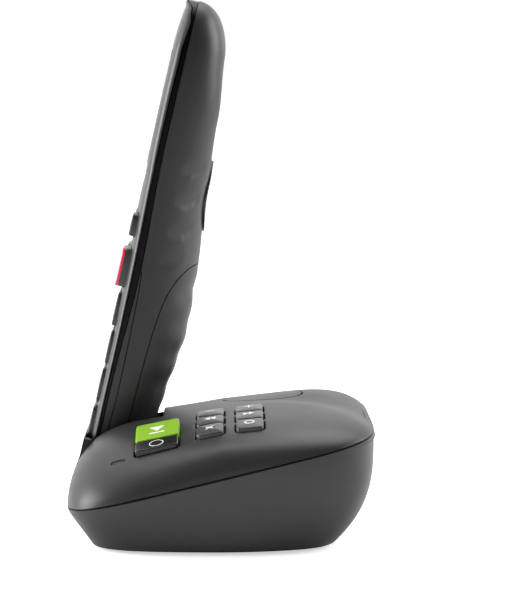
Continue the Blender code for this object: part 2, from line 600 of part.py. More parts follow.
def main():
    clear_scene()
    looks = {
        "shell": material("dark_plastic", (0.055, 0.056, 0.058), 0.45),
        "cradle": material("cradle_plastic", (0.03, 0.03, 0.031), 0.5),
        "frame": material("frame_plastic", (0.10, 0.10, 0.105), 0.38),
        "band": material("black_band", (0.008, 0.008, 0.009), 0.3),
        "play": material("green_key", (0.33, 0.60, 0.03), 0.35),
        "power": material("black_key", (0.02, 0.02, 0.021), 0.3),
        "function_key": material("grey_key", (0.09, 0.09, 0.095), 0.35),
        "digit": material("digit_key", (0.07, 0.07, 0.075), 0.35),
        "navigation": material("navigation_key", (0.12, 0.12, 0.125), 0.3),
        "call": material("call_key", (0.10, 0.36, 0.05), 0.35),
        "end": material("end_key", (0.50, 0.03, 0.06), 0.35),
        "window": material("display_window", (0.02, 0.022, 0.025), 0.08),
        "display": material("display_module", (0.30, 0.34, 0.30), 0.4),
        "contact": material("contact_metal", (0.72, 0.66, 0.48), 0.25, 1.0),
        "steel": material("steel", (0.55, 0.55, 0.56), 0.35, 1.0),
        "socket": material("socket_plastic", (0.02, 0.02, 0.02), 0.5),
        "rubber": material("rubber", (0.03, 0.03, 0.03), 0.8),
        "board": material("circuit_board", (0.02, 0.12, 0.05), 0.5),
        "battery": material("battery_wrap", (0.05, 0.22, 0.10), 0.4),
    }
    cover, bottom = base_shells(looks)
    stand = empty("handset_stand", (HANDSET_X, HANDSET_Y, HANDSET_Z), turn=(-HANDSET_TILT, 0, 0))
    cradle(cover, looks, stand)
    base_keys(cover, looks)
    base_inside(cover, bottom, looks)
    base_underside(bottom, looks)
    front, shell = handset_shells(stand, looks)
    side_band(stand, looks)
    handset_keys(front, stand, looks)
    handset_inside(front, shell, stand, looks)


main()
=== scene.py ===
"""Visual model of the cordless telephone and its answering base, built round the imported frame.

Row frame: +X to the user's right, +Y to the rear, +Z up, metres. The handset has its own frame in the
cradle: X across, Y rearward (depth), Z up along the handset. The shells are swept again here at a high
resolution, over the same surfaces as the frame's.
"""
import json
import math

import bmesh
import bpy
from mathutils import Matrix, Vector


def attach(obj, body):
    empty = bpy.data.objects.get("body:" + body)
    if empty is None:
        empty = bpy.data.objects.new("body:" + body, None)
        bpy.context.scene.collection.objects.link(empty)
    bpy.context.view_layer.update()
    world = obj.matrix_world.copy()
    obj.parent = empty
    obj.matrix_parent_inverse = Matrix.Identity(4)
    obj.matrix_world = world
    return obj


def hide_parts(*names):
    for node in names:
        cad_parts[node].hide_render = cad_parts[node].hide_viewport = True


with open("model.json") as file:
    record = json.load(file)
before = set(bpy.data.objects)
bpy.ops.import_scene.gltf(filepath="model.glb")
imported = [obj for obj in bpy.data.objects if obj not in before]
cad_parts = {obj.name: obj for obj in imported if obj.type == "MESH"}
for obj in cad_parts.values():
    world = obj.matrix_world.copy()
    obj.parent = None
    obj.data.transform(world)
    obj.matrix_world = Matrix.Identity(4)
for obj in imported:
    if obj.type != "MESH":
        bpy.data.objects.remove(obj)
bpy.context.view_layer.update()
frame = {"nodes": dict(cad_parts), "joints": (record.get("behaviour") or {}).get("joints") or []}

MM = 0.001
GAP = 0.3 * MM
EDGE = 0.3 * MM                     # rounding of moulded edges
SHARP_ANGLE = 32                    # degrees; flatter edges are shaded smooth
PRINT_THICKNESS, PRINT_SUNK = 0.05 * MM, 0.03 * MM
PLUG_DEPTH, PLUG_TOP = 6.0 * MM, 4.0 * MM    # reach of an opening's cutter below and above the face

# ---- base ----
BASE_HALF_WIDTH, BASE_HALF_DEPTH = 58.0 * MM, 50.0 * MM
BASE_CORNER = 5.5                   # power of the superellipse in plan
SEAM_HEIGHT, SEAM_SLOPE = 24.7 * MM, 0.243
DECK_RISE, DECK_RISE_SLOPE = 16.5 * MM, -0.126
DECK_CROWN, DECK_TWIST = 1.7, 59.0
ROLL_SIDE, ROLL_FRONT, ROLL_REAR = (12.0, 1.9), (4.4, 2.1), (3.0, 1.1)
FOOT_HEIGHT = 0.8 * MM
FLOOR_SIDE, FLOOR_FRONT, FLOOR_REAR = 0.93, 0.81, 0.66
FLARE_FRONT, FLARE_REAR = 1.2, 4.0
BASE_WALL = 1.8 * MM
BASE_CELLS = 112

# ---- handset ----
HANDSET_TILT = math.radians(13.0)
HANDSET = Matrix.Translation((-16.0 * MM, -41.1 * MM, 30.4 * MM)) @ Matrix.Rotation(-HANDSET_TILT, 4, "X")
HANDSET_HALF_WIDTH = 26.0 * MM
HANDSET_BOTTOM, HANDSET_TOP = -12.0 * MM, 149.8 * MM
HANDSET_MIDDLE = (HANDSET_TOP + HANDSET_BOTTOM) / 2
HANDSET_HALF_LENGTH = (HANDSET_TOP - HANDSET_BOTTOM) / 2
HANDSET_CORNER = 5.0
HANDSET_CELLS = (72, 190)
FRONT_ROLL_SIDE, FRONT_ROLL_END = (4.0, 2.0), (14.0, 2.0)
REAR_ROLL_SIDE, REAR_ROLL_END = (3.0, 2.0), (12.0, 2.0)
HANDSET_WALL, FRAME_WALL = 1.5 * MM, 1.0 * MM
GRIP_PITCH, GRIP_WAVE, GRIP_START = 10.6 * MM, 0.22 * MM, 30.6 * MM

# curves along the handset: (height, depth) in millimetres, joined by smooth steps
FRONT_FACE = ((-12, -3.0), (24, -2.5), (32, -2.5), (50, -3.2), (88, -4.3), (100, -4.8), (150, -4.8))
FRONT_EDGE = ((-12, -0.7), (40, -0.7), (112, -1.8), (132, -1.5), (142, -0.6), (146.5, -1.3), (149, -3.2))
REAR_EDGE = ((-12, 0.6), (16, 0.7), (57, 1.8), (100, 0.5), (150, 0.6))
REAR_FACE = ((-12, 16.0), (12, 18.2), (43, 21.0), (60, 20.0), (90, 16.8), (112, 15.5), (133, 13.5),
             (150, 12.0))
CHIN_SEAM = ((-12, 2.5), (6, 2.8), (16, 3.2), (37, 3.0), (50, 2.6), (58, 2.15))
COVER_SEAM = ((3.4, 8.7), (13, 9.0), (31, 9.6), (46, 10.8), (55, 12.9), (62, 16.9), (65.5, 22.5))

# ---- keys ----
KEY_GAP = 0.45 * MM
FUNCTION_COLUMNS = ("left", "middle", "right")
FUNCTION_ROWS = ("front", "rear")
FUNCTION_KEY = (9.4 * MM, 8.9 * MM)
PLAY_KEY, POWER_KEY = (13.6 * MM, 14.2 * MM), (7.4 * MM, 14.2 * MM)
BASE_KEY_DEPTH, BASE_KEY_PROUD = 4.4 * MM, 1.2 * MM
DIGIT_ROWS = (5.0 * MM, 17.9 * MM, 30.8 * MM, 43.7 * MM)
DIGIT_COLUMNS = (-14.0 * MM, 0.0, 14.0 * MM)
DIGIT_KEY = (12.6 * MM, 11.2 * MM)
DIGIT_NAMES = (("star", "0", "hash"), ("7", "8", "9"), ("4", "5", "6"), ("1", "2", "3"))
KEY_FOOT = -1.7 * MM
DISPLAY_HEIGHT, EARPIECE_HEIGHT = 115.0 * MM, 140.5 * MM


def smooth_step(low, high, value):
    t = min(max((value - low) / (high - low), 0.0), 1.0)
    return t * t * (3 - 2 * t)


def along(curve, height):
    """Depth at a height on one of the handset's curves, in metres."""
    place = height / MM
    for (h0, d0), (h1, d1) in zip(curve, curve[1:]):
        if place <= h1:
            return (d0 + (d1 - d0) * smooth_step(h0, h1, place)) * MM
    return curve[-1][1] * MM


def in_handset(x, depth, height):
    """Frame at a place in the handset."""
    return HANDSET @ Matrix.Translation((x, depth, height))


# ---------------------------------------------------------------- surfaces shared with the frame

def roll_off(radius, power):
    rise, root = power
    return max(1.0 - radius ** rise, 0.0) ** (1.0 / root)


def blend(side, end, share):
    return tuple(a + (b - a) * share for a, b in zip(side, end))


def plan_radius(px, py, corner):
    return min((abs(px) ** corner + abs(py) ** corner) ** (1 / corner), 1.0)


def seam_height(y):
    return SEAM_HEIGHT + SEAM_SLOPE * y


def deck_height(x, y):
    px, py = x / BASE_HALF_WIDTH, y / BASE_HALF_DEPTH
    share = py * py / max(px * px + py * py, 1e-9)
    power = blend(ROLL_SIDE, ROLL_REAR if py > 0 else ROLL_FRONT, share)
    crown = DECK_CROWN + DECK_TWIST * max(-y, 0.0)
    rise = DECK_RISE + DECK_RISE_SLOPE * y - crown * x * x
    return seam_height(y) + rise * roll_off(plan_radius(px, py, BASE_CORNER), power)


def handset_depth(face, edge, side, end, x, height, wave=0.0):
    """Depth of one of the handset's two faces over the point (x, height) of its outline."""
    px, py = x / HANDSET_HALF_WIDTH, (height - HANDSET_MIDDLE) / HANDSET_HALF_LENGTH
    share = py * py / max(px * px + py * py, 1e-9)
    start = along(edge, height)
    depth = along(face, height) - start
    if wave and height < COVER_SEAM[-2][0] * MM:
        depth += wave * math.sin(2 * math.pi * (GRIP_START - height) / GRIP_PITCH)
    return start + depth * roll_off(plan_radius(px, py, HANDSET_CORNER), blend(side, end, share))


def front_depth(x, height):
    return handset_depth(FRONT_FACE, FRONT_EDGE, FRONT_ROLL_SIDE, FRONT_ROLL_END, x, height)


def rear_depth(x, height):
    return handset_depth(REAR_FACE, REAR_EDGE, REAR_ROLL_SIDE, REAR_ROLL_END, x, height, GRIP_WAVE)


# ---------------------------------------------------------------- materials

class Nodes:
    """A material's node tree, with one line for each node that is added."""

    def __init__(self, name):
        self.material = bpy.data.materials.new(name)
        self.material.use_nodes = True
        self.tree = self.material.node_tree
        self.shader = self.tree.nodes["Principled BSDF"]

    def add(self, kind, inputs=(), **settings):
        node = self.tree.nodes.new(kind)
        for key, value in settings.items():
            setattr(node, key, value)
        for key, value in dict(inputs).items():
            if isinstance(value, bpy.types.NodeSocket):
                self.tree.links.new(value, node.inputs[key])
            else:
                node.inputs[key].default_value = value
        return node

    def join(self, socket, key):
        self.tree.links.new(socket, self.shader.inputs[key])

    def mix(self, factor, first, second):
        return self.add("ShaderNodeMix", {"Factor": factor, "A": first, "B": second},
                        data_type="RGBA").outputs["Result"]

    def noise(self, size, detail=2.0, roughness=0.5):
        """Noise whose features are about `size` metres across, fixed to the piece."""
        place = self.add("ShaderNodeTexCoord").outputs["Object"]
        return self.add("ShaderNodeTexNoise", {"Vector": place, "Scale": 1.0 / size, "Detail": detail,
                                               "Roughness": roughness}).outputs["Fac"]

    def spread(self, value, low, high):
        return self.add("ShaderNodeMapRange", {"Value": value, "From Min": 0.3, "From Max": 0.7,
                                               "To Min": low, "To Max": high}).outputs["Result"]

    def bump(self, height, distance, strength=1.0, below=None):
        inputs = {"Height": height, "Distance": distance, "Strength": strength}
        if below:
            inputs["Normal"] = below
        return self.add("ShaderNodeBump", inputs).outputs["Normal"]


def mixed(color, factor):
    return tuple(min(c * factor, 1.0) for c in color) + (1.0,)


def moulded(name, color, roughness, grain=0.45 * MM, relief=0.010 * MM, mottle=0.10, specular=0.5):
    """Moulded plastic: a fine spark-eroded grain, faint flow mottling and handling wear in the gloss."""
    nodes = Nodes(name)
    nodes.shader.inputs["Specular IOR Level"].default_value = specular
    cloudy = nodes.noise(14 * MM, 3.0)
    fine = nodes.noise(grain, 3.0, 0.6)
    tone = nodes.mix(cloudy, mixed(color, 1 - mottle), mixed(color, 1 + mottle))
    nodes.join(nodes.mix(nodes.spread(fine, 0.0, 0.5), tone, mixed(color, 1.12)), "Base Color")
    worn = nodes.add("ShaderNodeMath", {0: nodes.spread(fine, -0.03, 0.03),
                                        1: nodes.spread(nodes.noise(22 * MM), roughness - 0.03,
                                                        roughness + 0.03)}, operation="ADD")
    nodes.join(worn.outputs["Value"], "Roughness")
    nodes.join(nodes.bump(fine, relief), "Normal")
    return nodes.material


def metal(name, color, roughness):
    """Plated or drawn metal with faint scuffs."""
    nodes = Nodes(name)
    nodes.shader.inputs["Metallic"].default_value = 1.0
    streak = nodes.noise(1.2 * MM, 4.0, 0.7)
    nodes.join(nodes.mix(streak, mixed(color, 0.85), mixed(color, 1.1)), "Base Color")
    nodes.join(nodes.spread(streak, roughness - 0.07, roughness + 0.1), "Roughness")
    nodes.join(nodes.bump(streak, 0.006 * MM), "Normal")
    return nodes.material


def printed(name, color, roughness=0.5):
    """Ink or moulded-in colour, a little uneven where it was laid down."""
    nodes = Nodes(name)
    speckle = nodes.noise(0.25 * MM, 2.0)
    nodes.join(nodes.mix(speckle, mixed(color, 0.93), mixed(color, 1.05)), "Base Color")
    nodes.join(nodes.spread(speckle, roughness - 0.05, roughness + 0.05), "Roughness")
    return nodes.material


def clear_lens(name):
    """Smoked polycarbonate: clear to look through, with a trace of polishing haze."""
    nodes = Nodes(name)
    shader = nodes.shader.inputs
    shader["Base Color"].default_value = (0.62, 0.64, 0.66, 1.0)
    shader["Transmission Weight"].default_value = 1.0
    shader["IOR"].default_value = 1.25
    haze = nodes.noise(9 * MM, 4.0)
    nodes.join(nodes.spread(haze, 0.015, 0.06), "Roughness")
    return nodes.material


def lit_screen(name):
    """Pale reflective layer of a liquid crystal display, with its faint dot grid."""
    nodes = Nodes(name)
    place = nodes.add("ShaderNodeTexCoord").outputs["Object"]
    dots = nodes.add("ShaderNodeTexVoronoi", {"Vector": place, "Scale": 1 / (0.4 * MM),
                                              "Randomness": 0.0}).outputs["Distance"]
    tone = nodes.mix(dots, (0.60, 0.66, 0.56, 1.0), (0.50, 0.56, 0.47, 1.0))
    nodes.join(tone, "Base Color")
    nodes.join(tone, "Emission Color")
    nodes.shader.inputs["Emission Strength"].default_value = 0.25
    nodes.join(nodes.spread(dots, 0.35, 0.45), "Roughness")
    return nodes.material


LOOKS = {
    "base_plastic": moulded("base_plastic", (0.026, 0.0262, 0.0268), 0.42),
    "handset_plastic": moulded("handset_plastic", (0.021, 0.0212, 0.0217), 0.42),
    "cradle_plastic": moulded("cradle_plastic", (0.016, 0.016, 0.0165), 0.50),
    "frame_plastic": moulded("frame_plastic", (0.052, 0.053, 0.055), 0.36, relief=0.006 * MM),
    "black_band": moulded("black_band", (0.0025, 0.0025, 0.0028), 0.30, relief=0.003 * MM, specular=0.15),
    "green_key": moulded("green_key", (0.23, 0.45, 0.022), 0.46, relief=0.004 * MM, mottle=0.04,
                         specular=0.3),
    "black_key": moulded("black_key", (0.014, 0.014, 0.015), 0.26, relief=0.003 * MM),
    "grey_key": moulded("grey_key", (0.060, 0.060, 0.063), 0.28, relief=0.004 * MM),
    "digit_key": moulded("digit_key", (0.040, 0.041, 0.043), 0.30, relief=0.005 * MM),
    "navigation_key": moulded("navigation_key", (0.16, 0.16, 0.165), 0.30, relief=0.005 * MM),
    "call_key": moulded("call_key", (0.09, 0.36, 0.06), 0.34, relief=0.004 * MM, mottle=0.05),
    "end_key": moulded("end_key", (0.70, 0.045, 0.10), 0.34, relief=0.004 * MM, mottle=0.05),
    "key_rim": moulded("key_rim", (0.050, 0.050, 0.052), 0.34, relief=0.004 * MM),
    # near-black ring set in the gap round the rear grille insert: its colour is painted shade of that gap,
    # not the plastic's own colour
    "painted_shade_ring": moulded("painted_shade_ring", (0.004, 0.004, 0.0045), 0.32, relief=0.003 * MM, specular=0.2),
    "bay_plastic": moulded("bay_plastic", (0.020, 0.020, 0.021), 0.55),
    "display_window": clear_lens("display_window"),
    "screen_mask": moulded("screen_mask", (0.010, 0.010, 0.011), 0.35, relief=0.002 * MM),
    "display_module": lit_screen("display_module"),
    "contact_metal": metal("contact_metal", (0.78, 0.68, 0.44), 0.24),
    "steel": metal("steel", (0.56, 0.56, 0.57), 0.34),
    "socket_plastic": moulded("socket_plastic", (0.020, 0.020, 0.021), 0.5),
    "rubber": moulded("rubber", (0.025, 0.025, 0.026), 0.78, grain=0.3 * MM, relief=0.02 * MM),
    "circuit_board": moulded("circuit_board", (0.02, 0.13, 0.05), 0.45, relief=0.004 * MM, mottle=0.3),
    "battery_wrap": moulded("battery_wrap", (0.04, 0.20, 0.09), 0.35, relief=0.002 * MM),
    "white_print": printed("white_print", (0.86, 0.86, 0.85)),
    "black_print": printed("black_print", (0.03, 0.035, 0.03), 0.4),
}


# ---------------------------------------------------------------- meshes

def new_object(name, mesh, look=None, place=None):
    piece = bpy.data.objects.new(name, mesh)
    bpy.context.scene.collection.objects.link(piece)
    if look:
        mesh.materials.clear()
        mesh.materials.append(LOOKS[look])
    if place is not None:
        piece.matrix_world = place
    return piece


def mesh_from(name, bm, angle=SHARP_ANGLE):
    mesh = bpy.data.meshes.new(name)
    bm.to_mesh(mesh)
    bm.free()
    mesh.shade_smooth()
    mesh.set_sharp_from_angle(angle=math.radians(angle))
    return mesh


def evaluated(piece):
    """The piece with its modifiers applied; the objects that cut it are removed."""
    cutters = [m.object for m in piece.modifiers if m.type == "BOOLEAN"]
    bpy.context.view_layer.update()
    graph = bpy.context.evaluated_depsgraph_get()
    mesh = bpy.data.meshes.new_from_object(piece.evaluated_get(graph))
    piece.modifiers.clear()
    look = piece.data.materials[0] if piece.data.materials else None
    piece.data = mesh
    mesh.materials.clear()
    if look:
        mesh.materials.append(look)
    mesh.name = piece.name
    mesh.shade_smooth()
    mesh.set_sharp_from_angle(angle=math.radians(SHARP_ANGLE))
    for cutter in set(cutters):
        bpy.data.objects.remove(cutter)
    return piece


def boolean(piece, cutter, operation="DIFFERENCE"):
    cut = piece.modifiers.new(operation.title(), "BOOLEAN")
    cut.operation = operation
    cut.solver = "MANIFOLD"
    cut.object = cutter


def loft(name, rings, look=None, place=None, angle=SHARP_ANGLE, closed=False):
    """Closed solid through rings of points, capped at both ends, or joined end to end if `closed`."""
    bm = bmesh.new()
    made = [[bm.verts.new(point) for point in ring] for ring in rings]
    pairs = list(zip(made, made[1:] + (made[:1] if closed else [])))
    for lower, upper in pairs:
        count = len(lower)
        for k in range(count):
            bm.faces.new((lower[k], lower[(k + 1) % count], upper[(k + 1) % count], upper[k]))
    if not closed:
        bm.faces.new(reversed(made[0]))
        bm.faces.new(made[-1])
    bmesh.ops.recalc_face_normals(bm, faces=bm.faces)
    return new_object(name, mesh_from(name, bm, angle), look, place)


def rounded(width, length, corner, steps=7, straights=1):
    """Outline of a rectangle with rounded corners, counter-clockwise."""
    corner = max(min(corner, width / 2, length / 2), 1e-6)
    points = []
    for quarter, (sx, sy) in enumerate(((1, 1), (-1, 1), (-1, -1), (1, -1))):
        for step in range(steps + 1):
            angle = math.pi / 2 * (quarter + step / steps)
            points.append((sx * (width / 2 - corner) + corner * math.cos(angle),
                           sy * (length / 2 - corner) + corner * math.sin(angle)))
    if straights == 1:
        return points
    filled = []
    for k, (a, b) in enumerate(points):
        filled.append((a, b))
        if k % (steps + 1) == steps:
            c, d = points[(k + 1) % len(points)]
            filled += [(a + (c - a) * t / straights, b + (d - b) * t / straights)
                       for t in range(1, straights)]
    return filled


def disc_outline(radius, sides=64):
    return [(radius * math.cos(2 * math.pi * k / sides), radius * math.sin(2 * math.pi * k / sides))
            for k in range(sides)]


def plug(name, outline, low, high, centre=(0.0, 0.0), place=None):
    """Straight cutter: an outline round `centre`, from one level up to another."""
    x, y = centre
    return loft(name, [[(x + a, y + b, level) for a, b in outline] for level in (low, high)], place=place)


def opening_cutter(name, outline, lift, edge=EDGE, place=None):
    """Plug for an opening with a rounded rim. outline(outset) gives the opening's points grown by
    `outset`, and lift(a, b, height) lays a point on the surface, `height` above it."""
    profile = [(0.0, -PLUG_DEPTH)]
    for degrees in (0, 24, 47, 70):
        turn = math.radians(degrees)
        profile.append((edge * (1 - math.cos(turn)), -edge * (1 - math.sin(turn))))
    outset, height = profile[-1]
    run = 0.5 * MM
    profile.append((outset + run * math.sin(turn), height + run * math.cos(turn)))
    profile.append((outset + run * math.sin(turn), PLUG_TOP))
    rings = [[lift(a, b, level) for a, b in outline(grow)] for grow, level in profile]
    return loft(name, rings, place=place)


def deck_lift(stand):
    """Lays points of the frame `stand` on the deck; heights are measured square to it."""
    normal = stand.to_3x3() @ Vector((0, 0, 1))

    def lift(a, b, height):
        point = stand @ Vector((a, b, 0))
        point.z = deck_height(point.x, point.y)
        return point + normal * height
    return lift


def front_lift(centre_x, centre_height):
    def lift(a, b, height):
        x, level = centre_x + a, centre_height + b
        return Vector((x, front_depth(x, level) - height, level))
    return lift


def ride(piece, body, slot, *nodes):
    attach(piece, body)
    if nodes:
        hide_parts(*nodes)
    return piece


def sheet(name, cells, corner, place, look, flip=False, wall=0.0, world=None, rim=None):
    """Shell on concentric superellipse rings. rim(x, y, z) gives where the edge is turned in to."""
    across, lengthways = cells
    bm = bmesh.new()
    rows = []
    for j in range(lengthways + 1):
        row = []
        for i in range(across + 1):
            a, b = 2 * i / across - 1, 2 * j / lengthways - 1
            reach = max(abs(a), abs(b))
            size = (abs(a) ** corner + abs(b) ** corner) ** (1 / corner) / reach if reach > 1e-9 else 1.0
            px, py = (a / reach / size, b / reach / size) if reach > 1e-9 else (0.0, 0.0)
            row.append(bm.verts.new(place(reach, px, py)))
        rows.append(row)
    for lower, upper in zip(rows, rows[1:]):
        for i in range(across):
            ring = [lower[i], lower[i + 1], upper[i + 1], upper[i]]
            bm.faces.new(reversed(ring) if flip else ring)
    if rim:
        border = [edge for edge in bm.edges if edge.is_boundary]
        grown = bmesh.ops.extrude_edge_only(bm, edges=border)["geom"]
        for vert in grown:
            if isinstance(vert, bmesh.types.BMVert):
                vert.co = rim(*vert.co)
        bmesh.ops.recalc_face_normals(bm, faces=bm.faces)
        if (sum((f.normal.z * f.calc_area() for f in bm.faces)) < 0) != flip:
            bmesh.ops.reverse_faces(bm, faces=bm.faces)
    piece = new_object(name, mesh_from(name, bm), look, world)
    if wall:
        shell = piece.modifiers.new("Solidify", "SOLIDIFY")
        shell.thickness = wall
        shell.offset = -1.0
    return piece


def prism(name, outline, low, high, across=False):
    """Prism in the handset's frame: points are (depth, height), or (x, height) with `across`."""
    def ring(at):
        return [(first, at, level) if across else (at, first, level) for first, level in outline]
    return loft(name, [ring(low), ring(high)], place=HANDSET)


# ---------------------------------------------------------------- key caps and prints

def cap_profile(edge):
    """Inset and drop of the rounded edge, from the side wall up to the top face."""
    turns = [math.pi / 2 * k / 5 for k in range(6)]
    return [(edge * (1 - math.cos(turn)), edge * (1 - math.sin(turn))) for turn in turns]


def key_cap(name, width, length, depth, corner, edge, look, place, bulge=0.0, draft=0.0, trough=0.0):
    """Key in its own frame, top at +Z. `bulge` is how far the middle stands over the edge, and is
    negative in a dished key; `draft` is how much wider the foot is than the top, and `trough` how deep
    a hollow runs across it from side to side."""
    def outline(inset):
        return rounded(width - 2 * inset, length - 2 * inset, corner - inset, 6)
    rings = [[(a, b, -depth) for a, b in outline(-draft)]]
    for inset, drop in cap_profile(edge):
        rings.append([(a, b, -drop) for a, b in outline(inset)])
    rim, top_rings = outline(edge), 7
    for k in range(1, top_rings):
        share = 1 - k / top_rings
        rings.append([(a * share, b * share, bulge * (1 - share * share)) for a, b in rim])
    rings[1:] = [[(a, b, c - trough * (1 - (2 * b / length) ** 2)) for a, b, c in ring] for ring in rings[1:]]
    return loft(name, rings, look, place, angle=50)


def bar(cx, cy, width, height, turn=0.0):
    c, s = math.cos(turn), math.sin(turn)
    return [(cx + c * x - s * y, cy + s * x + c * y)
            for x, y in ((-width / 2, -height / 2), (width / 2, -height / 2), (width / 2, height / 2),
                         (-width / 2, height / 2))]


def arc_band(radius, thickness, start, stop, centre=(0.0, 0.0), steps=28):
    turns = [start + (stop - start) * k / steps for k in range(steps + 1)]
    outer = [(centre[0] + (radius + thickness / 2) * math.cos(t),
              centre[1] + (radius + thickness / 2) * math.sin(t)) for t in turns]
    inner = [(centre[0] + (radius - thickness / 2) * math.cos(t),
              centre[1] + (radius - thickness / 2) * math.sin(t)) for t in reversed(turns)]
    return outer + inner


def ring_shape(radius, thickness):
    """Full ring as eight short bands."""
    turn = math.pi / 4
    return [arc_band(radius, thickness, k * turn, (k + 1) * turn, steps=6) for k in range(8)]


def handset_shape(size, turn=0.0):
    """The plain telephone-receiver symbol: a curved grip with a square piece at each end."""
    grip = arc_band(size * 0.55, size * 0.17, math.radians(28), math.radians(152), (0, -size * 0.32))
    ends = [bar(side * size * 0.43, -size * 0.06, size * 0.22, size * 0.26, side * -0.5)
            for side in (-1, 1)]
    c, s = math.cos(turn), math.sin(turn)
    return [[(c * x - s * y, s * x + c * y) for x, y in shape] for shape in (grip, *ends)]


def print_on(name, shapes, place, body, slot, look="white_print", height=None):
    """Raised print: each outline becomes a thin plate lying on the top face height(a, b)."""
    bm = bmesh.new()
    for shape in shapes:
        face = bm.faces.new([bm.verts.new((a, b, 0.0)) for a, b in shape])
        if face.normal.z < 0:
            face.normal_flip()
    bmesh.ops.triangulate(bm, faces=bm.faces)
    return raise_print(name, bm, place, body, slot, look, height)


def raise_print(name, bm, place, body, slot, look, height):
    for _ in range(2):
        long_edges = [e for e in bm.edges if e.calc_length() > 1.2 * MM]
        if long_edges and height:
            bmesh.ops.subdivide_edges(bm, edges=long_edges, cuts=1)
            bmesh.ops.triangulate(bm, faces=bm.faces)
    bm.normal_update()
    for face in bm.faces:
        if face.normal.z < 0:
            face.normal_flip()
    grown = bmesh.ops.extrude_face_region(bm, geom=list(bm.faces))
    raised = {item for item in grown["geom"] if isinstance(item, bmesh.types.BMVert)}
    for vert in bm.verts:
        level = height(vert.co.x, vert.co.y) if height else 0.0
        vert.co.z = level + (PRINT_THICKNESS if vert in raised else -PRINT_SUNK)
    bmesh.ops.recalc_face_normals(bm, faces=bm.faces)
    piece = new_object(name, mesh_from(name, bm), look, place)
    return ride(piece, body, slot)


def text_mesh(text, size):
    """Flat mesh of plain figures, centred on the origin."""
    curve = bpy.data.curves.new("figures", "FONT")
    curve.body = text
    curve.size = size
    curve.align_x, curve.align_y = "CENTER", "CENTER"
    curve.resolution_u = 5
    holder = bpy.data.objects.new("figures", curve)
    bpy.context.scene.collection.objects.link(holder)
    bpy.context.view_layer.update()
    mesh = bpy.data.meshes.new_from_object(holder.evaluated_get(bpy.context.evaluated_depsgraph_get()))
    bpy.data.objects.remove(holder)
    bpy.data.curves.remove(curve)
    bm = bmesh.new()
    bm.from_mesh(mesh)
    bmesh.ops.remove_doubles(bm, verts=bm.verts, dist=size * 1e-4)
    xs, ys = [v.co.x for v in bm.verts], [v.co.y for v in bm.verts]
    middle = Vector(((max(xs) + min(xs)) / 2, (max(ys) + min(ys)) / 2, 0))
    for vert in bm.verts:
        vert.co -= middle
    return bm


def print_text(name, text, size, place, body, slot, look="white_print", height=None, weight=0.0):
    bm = text_mesh(text, size)
    if weight:
        for vert in bm.verts:
            vert.co.x *= 1 + weight
    return raise_print(name, bm, place, body, slot, look, height)


# ---------------------------------------------------------------- base

def deck_point(reach, px, py):
    radius = 1.0 - (1.0 - reach) ** 1.8
    x, y = BASE_HALF_WIDTH * radius * px, BASE_HALF_DEPTH * radius * py
    lift = GAP / 2 + EDGE
    return x, y, max(deck_height(x, y), seam_height(y) + lift)


def footprint(px, py):
    share = py * py / (px * px + py * py)
    return blend((FLOOR_SIDE, FLARE_FRONT),
                 (FLOOR_REAR, FLARE_REAR) if py > 0 else (FLOOR_FRONT, FLARE_FRONT), share)


def hull_point(reach, px, py):
    """Lower shell: a flat floor out to the footprint, then the wall up to the seam."""
    if reach < 1e-9:
        return 0.0, 0.0, FOOT_HEIGHT
    floor, power = footprint(px, py)
    low = 1.0 - max(reach - 0.4, 0.0) / 0.6
    radius = floor * reach / 0.4 if reach < 0.4 else 1.0 - (1.0 - floor) * low ** power
    x, y = BASE_HALF_WIDTH * radius * px, BASE_HALF_DEPTH * radius * py
    top = seam_height(y) - GAP / 2 - EDGE
    return x, y, top - low * (top - FOOT_HEIGHT)


def turned_in(side):
    """Where a shell's edge is turned in to, along the seam; side is 1 over the seam and -1 under it."""
    def rim(x, y, z):
        shrink = 1 - EDGE / BASE_HALF_WIDTH
        return x * shrink, y * shrink, seam_height(y * shrink) + side * GAP / 2
    return rim


WELL_CLEARANCE = 0.8 * MM
WELL_FRONT, WELL_REAR = -3.5 * MM, 19.8 * MM
CONTACT_X, CONTACT_DEPTH = 9.0 * MM, 5.0 * MM     # charging contacts and pads, in the handset's frame
WELL_RIM = 13.0 * MM
OPENING_TOP = 60.0 * MM


def well_outline(top):
    """The handset's foot seen from the front, with clearance, and straight sides up to `top`."""
    half, length = HANDSET_HALF_WIDTH + WELL_CLEARANCE, HANDSET_HALF_LENGTH + WELL_CLEARANCE
    steps, points = 16, []
    for k in range(steps + 1):
        level = HANDSET_MIDDLE - length + (WELL_RIM - HANDSET_MIDDLE + length) * (k / steps) ** 2
        reach = min(abs(level - HANDSET_MIDDLE) / length, 1.0)
        points.append((half * (1 - reach ** HANDSET_CORNER) ** (1 / HANDSET_CORNER), level))
    points[0] = (points[1][0] / 2, points[0][1])
    points.append((points[-1][0], top))
    return points + [(-x, level) for x, level in reversed(points)]


JOINTS = {joint["child"]: joint for joint in frame["joints"]}


def key_frame(name):
    """Frame of a key of the base: Z out of the deck along the key's travel, X across the base."""
    joint = JOINTS[name]
    up = -Vector(joint["axis"]).normalized()
    across = Vector((up.z, 0, -up.x)).normalized()
    return Matrix.Translation(joint["pos_m"]) @ Matrix((across, up.cross(across), up)).transposed().to_4x4()


